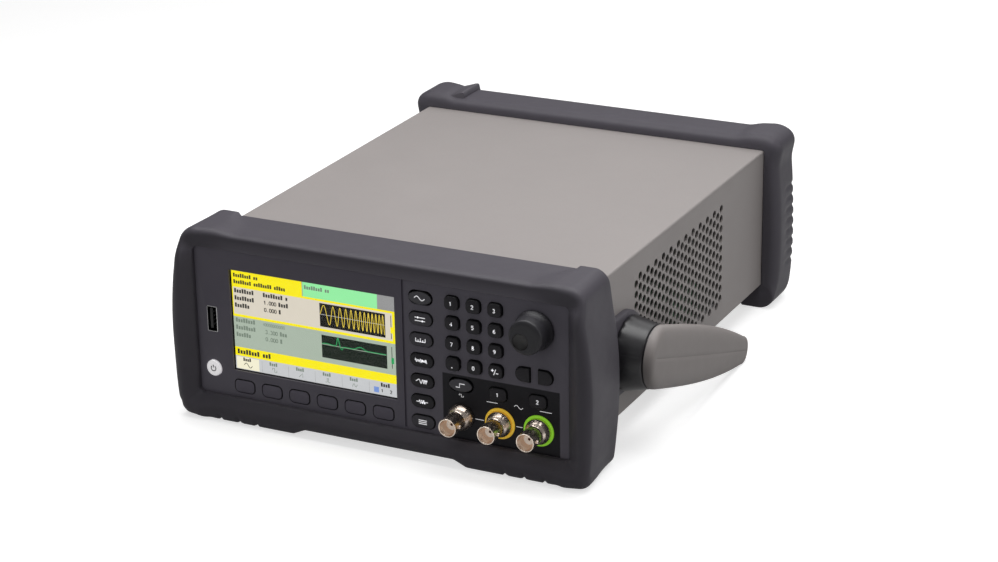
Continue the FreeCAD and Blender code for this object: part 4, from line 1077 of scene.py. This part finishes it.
def nut(centre, near, far):
    """Hexagon nut round its thread."""
    corners = [centre + Vector((math.cos(math.radians(60 * i)), math.sin(math.radians(60 * i)))) * NUT_RADIUS
               for i in range(6)]
    lift = math.copysign(NUT_BEVEL, far - near)
    rows = []
    for k in range(6 * NUT_STEPS):
        i, step = divmod(k, NUT_STEPS)
        p = corners[i].lerp(corners[(i + 1) % 6], step / NUT_STEPS)
        out = (p - centre).normalized()
        hole, bevel = centre + out * NUT_BORE, p - out * NUT_BEVEL
        rows.append([at(q.x, y, q.y) for q, y in
                     ((hole, near), (p, near), (p, far - lift), (bevel, far), (hole, far))])
    return lattice(rows, close_rows=True)


NOSE_RADIUS = 2.8
NOSE_DEPTH = 4.7


def insulator(place, way):
    """White insulator with the bore for its contact."""
    nose = -JACK_LENGTH + NOSE_DEPTH
    profile = softened([(0.75, 11.9), (0.75, nose + 0.4), (1.15, nose), (NOSE_RADIUS - 0.2, nose),
                        (NOSE_RADIUS, nose + 0.3), (NOSE_RADIUS, -6.0), (BORE - 0.02, -6.0),
                        (BORE - 0.02, 11.9), (0.75, 11.9)], 0.15, 2)[:-1]
    return turned(facing(profile, way), at(*place), segments=40)


def contact(place, way):
    """Socket contact sunk in the insulator's nose."""
    tip = -JACK_LENGTH + NOSE_DEPTH + 0.45
    profile = [(0.35, -6.0), (0.35, tip + 0.1), (0.45, tip), (0.66, tip), (0.74, tip + 0.1), (0.74, -6.0)]
    return turned(facing(profile, way), at(*place), segments=32)


def build_jacks():
    shells, whites, contacts = [], [], []
    for place, way in jack_places():
        shells += jack_shell(place, way)
        whites.append(insulator(place, way))
        contacts.append(contact(place, way))
    piece("bnc_contacts", "case", "contact_gold", contacts, (), 40)
    piece("bnc_jack_shells", "case", "nickel", shells, ["bnc_jacks"], 35)
    piece("bnc_insulator_cores", "case", "insulator", whites, ["bnc_insulators"], 40)
    for node, surface in (("channel_1_ring", "yellow_ring"), ("channel_2_ring", "green_ring")):
        x, z, width, _ = face_of(node)
        radius, face = width / 2, case_box(node)[0].y
        profile = [(FLANGE + 0.02, 0.0), (FLANGE + 0.02, face + 0.25), (FLANGE + 0.25, face),
                   (radius - 0.4, face), (radius - 0.1, face + 0.12), (radius, face + 0.35), (radius, 0.0)]
        piece(f"{node}_collar", "case", surface, [turned(profile, at(x, 0, z), segments=72)], [node])


def build_usb():
    """Vertical socket: folded metal shell, a cavity coloured near black as painted shade, and the contact tongue.
    """
    low, high = case_box("usb_host_port")
    x, z, width, height = face_of("usb_host_port")
    outer = soft_rectangle(x, z, width, height, 0.7, step=4.0)
    inner = inset(outer, 0.25)
    shell = lattice([ring_at(outer, high.y), ring_at(outer, low.y + 0.1),
                     ring_at(inset(outer, 0.1), low.y), ring_at(inner, low.y)])
    # the cavity's walls and closed end are near black as painted shade
    cavity = lattice([ring_at(inner, low.y), ring_at(inner, high.y - 1)])
    cavity[1].append([len(inner) + k for k in range(len(inner))])
    tongue = slab(soft_rectangle(x - 1.0, z, 1.7, height - 2.6, 0.3), low.y + 1.0, high.y - 1.2, 0.2)
    contacts = [slab(soft_rectangle(x - 0.1, z + k, 0.12, 1.0, 0.05), low.y + 2.0, high.y - 2.0)
                for k in (-3.4, -1.1, 1.1, 3.4)]
    piece("usb_host_socket_shell", "case", "port_steel",
          [shell, (*cavity, "socket_dark"), (*tongue, "socket_dark")] + contacts, ["usb_host_port"])


# ---- display

# The lit picture: its place, and the shares of its height where its sections start.
WINDOW_X, WINDOW_Z = -38.6, 41.95
WINDOW_WIDTH, WINDOW_HEIGHT = 94.6, 54.6
PICTURE_FACE = case_box("display_window")[1].y + 0.06
PANEL_BACK = 3.2
LAYER = 0.02
SECTION_TOP, SECTION_MIDDLE, SECTION_BAR, SECTION_KEYS = 0.158, 0.455, 0.776, 0.865


def on_screen(u, v):
    """(x, z) of a point of the display from shares of its width and height."""
    return (WINDOW_X + (u - 0.5) * WINDOW_WIDTH, WINDOW_Z + (0.5 - v) * WINDOW_HEIGHT)


def level(layer):
    """Front and back of one layer of the picture, higher layers in front."""
    return PICTURE_FACE + 0.2 - layer * LAYER, PICTURE_FACE + 0.3


def painted(meshes, colour):
    return [(*mesh, "screen_" + colour) for mesh in meshes]


def area(left, top, right, bottom, colour, layer=1):
    """Rectangle of the lit picture."""
    x0, z0 = on_screen(left, top)
    x1, z1 = on_screen(right, bottom)
    path = soft_rectangle((x0 + x1) / 2, (z0 + z1) / 2, x1 - x0, z0 - z1, 0.05)
    return painted([slab(path, *level(layer))], colour)


def line_on_screen(points, width, colour, layer=4):
    """Line of the lit picture through (u, v) points."""
    return painted([stroke([on_screen(u, v) for u, v in points], width, *level(layer))], colour)


LETTER_PITCH = 0.0142
DIGIT_PITCH = 3.0


def dashes(u, v, length, colour, size=1.0):
    """Row of small blocks that stands for a word."""
    parts = []
    pitch = LETTER_PITCH * size
    for k in range(int(length / pitch)):
        if k % 9 == 8:
            continue
        left, tall = u + k * pitch, 0.022 if k % 4 in (0, 3) else 0.012
        parts += area(left, v - tall * size, u + (k + 0.72) * pitch, v + 0.017 * size, colour, 4)
    return parts


def number(text, u, v, colour, size=0.5, width=0.42):
    """Digits of a reading."""
    x, z = on_screen(u, v)
    parts = []
    for k, digit in enumerate(text):
        kind = "point" if digit == "." else digit
        parts += marks(kind, x + DIGIT_PITCH * k * size, z, *level(4), size, width)
    return painted(parts, colour)


def swept_sine():
    """Sine whose pitch rises across the first plot."""
    left, right, middle, swing = 0.548, 0.94, 0.296, 0.093
    steps = 360
    points = []
    for k in range(steps + 1):
        t = k / steps
        phase = 2 * math.pi * (3.2 * t + 9.6 * t ** 1.75)
        points.append((left + (right - left) * t, middle - swing * math.sin(phase)))
    axis = [(left, middle), (right, middle)]
    return line_on_screen(axis, 0.22, "pale", 4) + line_on_screen(points, 0.34, "gold", 5)


def pulse_trace():
    """Sharp pulse and a slower hump on the second plot, over its zero line."""
    left, right, zero, rest = 0.55, 0.945, 0.592, 0.588
    steps = 140
    points = []
    for k in range(steps + 1):
        t = k / steps
        v = rest - 0.085 * bump_at(t, 0.255, 0.035) + 0.03 * bump_at(t, 0.31, 0.03)
        v -= 0.028 * bump_at(t, 0.60, 0.11) + 0.008 * bump_at(t, 0.08, 0.09)
        points.append((left + (right - left) * t, v))
    axis = [(left, zero), (right, zero)]
    return line_on_screen(axis, 0.3, "sage", 4) + line_on_screen(points, 0.45, "trace", 5)


def side_bar(top, bottom, colour):
    """Level bar at the right of a plot."""
    middle = (top + bottom) / 2
    return (line_on_screen([(0.978, top), (0.978, bottom)], 0.35, "ink", 4)
            + area(0.974, middle, 0.99, middle + 0.06, colour, 5))


KEY_ICONS = ("sine", "square", "ramp", "pulse_shape", "arc_shape")


def key_row():
    """Six cells over the softkeys: the chosen one bright, the rest faint."""
    top = SECTION_KEYS
    parts = area(0.0, top, 1.0, 1.0, "pale", 1) + area(0.006, top + 0.01, 0.148, 0.995, "ivory", 2)
    for k in range(1, 6):
        parts += line_on_screen([(k / 6, top + 0.02), (k / 6, 0.99)], 0.12, "grey", 3)
    for k, icon in enumerate(KEY_ICONS):
        colour, width = ("ink", 0.34) if k == 0 else ("faint", 0.26)
        u = (k + 0.47) / 6
        parts += dashes(u - 0.03, 0.898, 0.062, colour, 0.9)
        parts += painted(marks(icon, *on_screen(u, 0.953), *level(4), 0.8, width, 1.1), colour)
    parts += dashes(0.905, 0.898, 0.07, "ink", 1.0)
    parts += number("1", 0.912, 0.955, "ink", 0.4) + number("2", 0.965, 0.955, "ink", 0.4)
    return parts + area(0.862, 0.925, 0.892, 0.98, "blue", 4)


ROW_PITCH = 0.073
TEXT_COLUMN, VALUE_COLUMN, UNIT_COLUMN = 0.014, 0.205, 0.29


def channel_pane(top, colour, reading):
    """Three rows of words and two readings that belong to one channel."""
    parts = []
    for row, width in enumerate((0.155, 0.15, 0.095)):
        parts += dashes(TEXT_COLUMN, top + ROW_PITCH * row, width, colour, 1.1)
    for row, text in ((1, reading), (2, "0.000")):
        parts += number(text, VALUE_COLUMN, top + ROW_PITCH * row, colour)
    return parts


def picture():
    """Two channel panes, a heading bar and the row of soft labels."""
    ground = ((0.0, 0.0, 1.0, 1.0, "grey", 0),
              (0.0, 0.0, 0.44, SECTION_TOP, "yellow", 2),
              (0.445, 0.0, 0.898, 0.148, "green", 2),
              (0.0, 0.148, 1.0, SECTION_MIDDLE + 0.01, "yellow", 1),
              (0.006, 0.168, 0.986, 0.44, "cream", 2),
              (0.0, SECTION_MIDDLE + 0.01, 1.0, SECTION_BAR, "sage", 1),
              (0.0, SECTION_BAR, 1.0, SECTION_KEYS, "yellow", 2),
              (0.545, 0.185, 0.943, 0.418, "black", 3),
              (0.55, 0.5, 0.948, 0.726, "dark_green", 3))
    words = ((0.012, 0.05, 0.17, "ink", 1.0), (0.012, 0.115, 0.33, "ink", 1.0),
             (0.455, 0.055, 0.17, "faint", 1.0), (0.195, 0.205, 0.17, "ink", 1.1),
             (UNIT_COLUMN, 0.278, 0.075, "ink", 1.1), (UNIT_COLUMN, 0.351, 0.02, "ink", 1.1),
             (UNIT_COLUMN, 0.575, 0.06, "faint", 1.1), (UNIT_COLUMN, 0.648, 0.02, "faint", 1.1),
             (0.015, 0.822, 0.23, "ink", 1.25))
    parts = [part for place in ground for part in area(*place)]
    parts += [part for place in words for part in dashes(*place)]
    parts += channel_pane(0.205, "ink", "1.000") + channel_pane(0.502, "faint", "3.300")
    parts += number("40000000000", 0.19, 0.502, "faint", 0.4, 0.26)
    parts += swept_sine() + side_bar(0.19, 0.42, "yellow")
    parts += pulse_trace() + side_bar(0.5, 0.715, "trace")
    return parts + key_row()


def plate_over(node, front, back, shrink, radius, edge):
    """Plate with a node's outline, drawn in all round by shrink."""
    x, z, width, height = face_of(node)
    path = soft_rectangle(x, z, width - 2 * shrink, height - 2 * shrink, radius, step=10.0)
    return slab(path, front, back, edge)


def build_display():
    body = plate_over("display_module", PANEL_BACK, case_box("display_module")[1].y, 0.0, 0.8, 0.3)
    front = plate_over("display_window", PICTURE_FACE + 0.24, PANEL_BACK + 0.1, 0.1, 0.5, 0.1)
    piece("display_picture", "case", "black_plastic", [body, front] + picture(), ["display_module"])


# ---- panel print

RING_CLEARANCE = 8.9
KEY_LINE_Z = 23.0


def build_print():
    """White lines between the jacks and under the channel keys, and small symbols."""
    faces = -0.05, 0.05
    lines = [(SYNC_X + NUT_RADIUS, RING_X[0] - RING_CLEARANCE, RING_Z),
             (RING_X[0] + RING_CLEARANCE, RING_X[1] - RING_CLEARANCE, RING_Z),
             (60.5, 66.5, KEY_LINE_Z), (89.5, 96.0, KEY_LINE_Z)]
    parts = [stroke([(start, z), (end, z)], 0.28, *faces) for start, end, z in lines]
    parts += marks("square", SYNC_X, RING_Z + 11.2, *faces, 0.7, 0.28)
    parts += marks("sine", 78.0, KEY_LINE_Z, *faces, 0.8, 0.28)
    piece("panel_print", "case", "print_white", parts)


# ---- CAD nodes that stay

def dress_frame():
    """Every CAD node that is still shown takes its slot's surface."""
    slots = {part["node"]: part["material_slot"] for part in RECORD["subparts"]}
    for name, thing in frame["nodes"].items():
        surface = slots[name] if slots[name] in SURFACES else "black_plastic"
        thing.data.materials.clear()
        thing.data.materials.append(SURFACES[surface].material)


# ---- studio

FLOOR_IN_REFLECTIONS = 0.22


def build_floor():
    """Pale floor.  It glows a little so that shadows stay light, and gives no bounce."""
    surface = Surface("studio_floor", (0.62, 0.62, 0.62, 1), 0.9, mottle=0.004, mottle_size=400.0,
                      emission=1.0)
    ray = surface.add("LightPath").outputs["Is Glossy Ray"]
    glow = surface.add("MapRange", To_Min=1.0, To_Max=FLOOR_IN_REFLECTIONS, Value=ray)
    surface.feed(surface.shader, Emission_Strength=glow.outputs["Result"])
    half = 9.0
    data = bpy.data.meshes.new("studio_floor")
    data.from_pydata([(-half, -half, 0), (half, -half, 0), (half, half, 0), (-half, half, 0)], [],
                     [(0, 1, 2, 3)])
    data.materials.append(surface.material)
    floor = put("studio_floor", data)
    floor.visible_diffuse = False


# Name, place, size and watts of each lamp; all of them look at LIT_POINT.
LIT_POINT = Vector((0, 0, 0.06))
LAMPS = (("overhead", (0.0, 0.55, 1.0), (1.0, 1.0), 4.4),
         ("near_top", (0.0, -0.04, 0.55), (0.8, 0.3), 3.2),
         ("right_side", (1.5, 0.2, 0.6), (0.9, 0.9), 5.4),
         ("front_high", (0.0, -1.0, 1.3), (1.0, 0.6), 1.0),
         ("front_fill", (-0.3, -2.2, 0.9), (1.2, 1.0), 3.0),
         ("back_low", (0.1, 1.6, 0.9), (1.6, 0.9), 1.5))
WORLD_STRENGTH = 0.19


def area_light(name, place, size, watts):
    data = bpy.data.lights.new(name, "AREA")
    data.shape = "RECTANGLE"
    data.size, data.size_y = size
    data.energy = watts
    light = put(name, data)
    light.location = place
    light.rotation_euler = (LIT_POINT - Vector(place)).to_track_quat("-Z", "Y").to_euler()


def build_studio():
    world = bpy.data.worlds.new("studio")
    world.use_nodes = True
    sky = world.node_tree.nodes["Background"].inputs
    sky["Color"].default_value = (1, 1, 1, 1)
    sky["Strength"].default_value = WORLD_STRENGTH
    bpy.context.scene.world = world
    for lamp in LAMPS:
        area_light(*lamp)
    bpy.context.scene.view_settings.view_transform = "Standard"


CAMERA_PLACE = Vector((0.585, -1.1669, 0.5451))
CAMERA_AZIMUTH, CAMERA_ELEVATION, CAMERA_ROLL = 26.603, 21.019, -0.955
SENSOR_WIDTH = 36.0
LENS = 92.415


def build_camera():
    az, el, roll = (math.radians(v) for v in (CAMERA_AZIMUTH, CAMERA_ELEVATION, CAMERA_ROLL))
    forward = Vector((-math.cos(el) * math.sin(az), math.cos(el) * math.cos(az), -math.sin(el)))
    level = Vector((math.cos(az), math.sin(az), 0))
    rise = level.cross(forward)
    right = level * math.cos(roll) + rise * math.sin(roll)
    up = right.cross(forward)
    data = bpy.data.cameras.new("camera")
    data.sensor_width = SENSOR_WIDTH
    data.lens = LENS
    data.clip_start = 0.01
    camera = put("camera", data)
    turn = Matrix((right, up, -forward)).transposed()
    camera.matrix_world = Matrix.Translation(CAMERA_PLACE) @ turn.to_4x4()
    bpy.context.scene.camera = camera


make_surfaces()
dress_frame()
build_bumpers()
build_handle()
build_keys()
build_knob()
build_jacks()
build_usb()
build_display()
build_print()
build_floor()
build_studio()
build_camera()
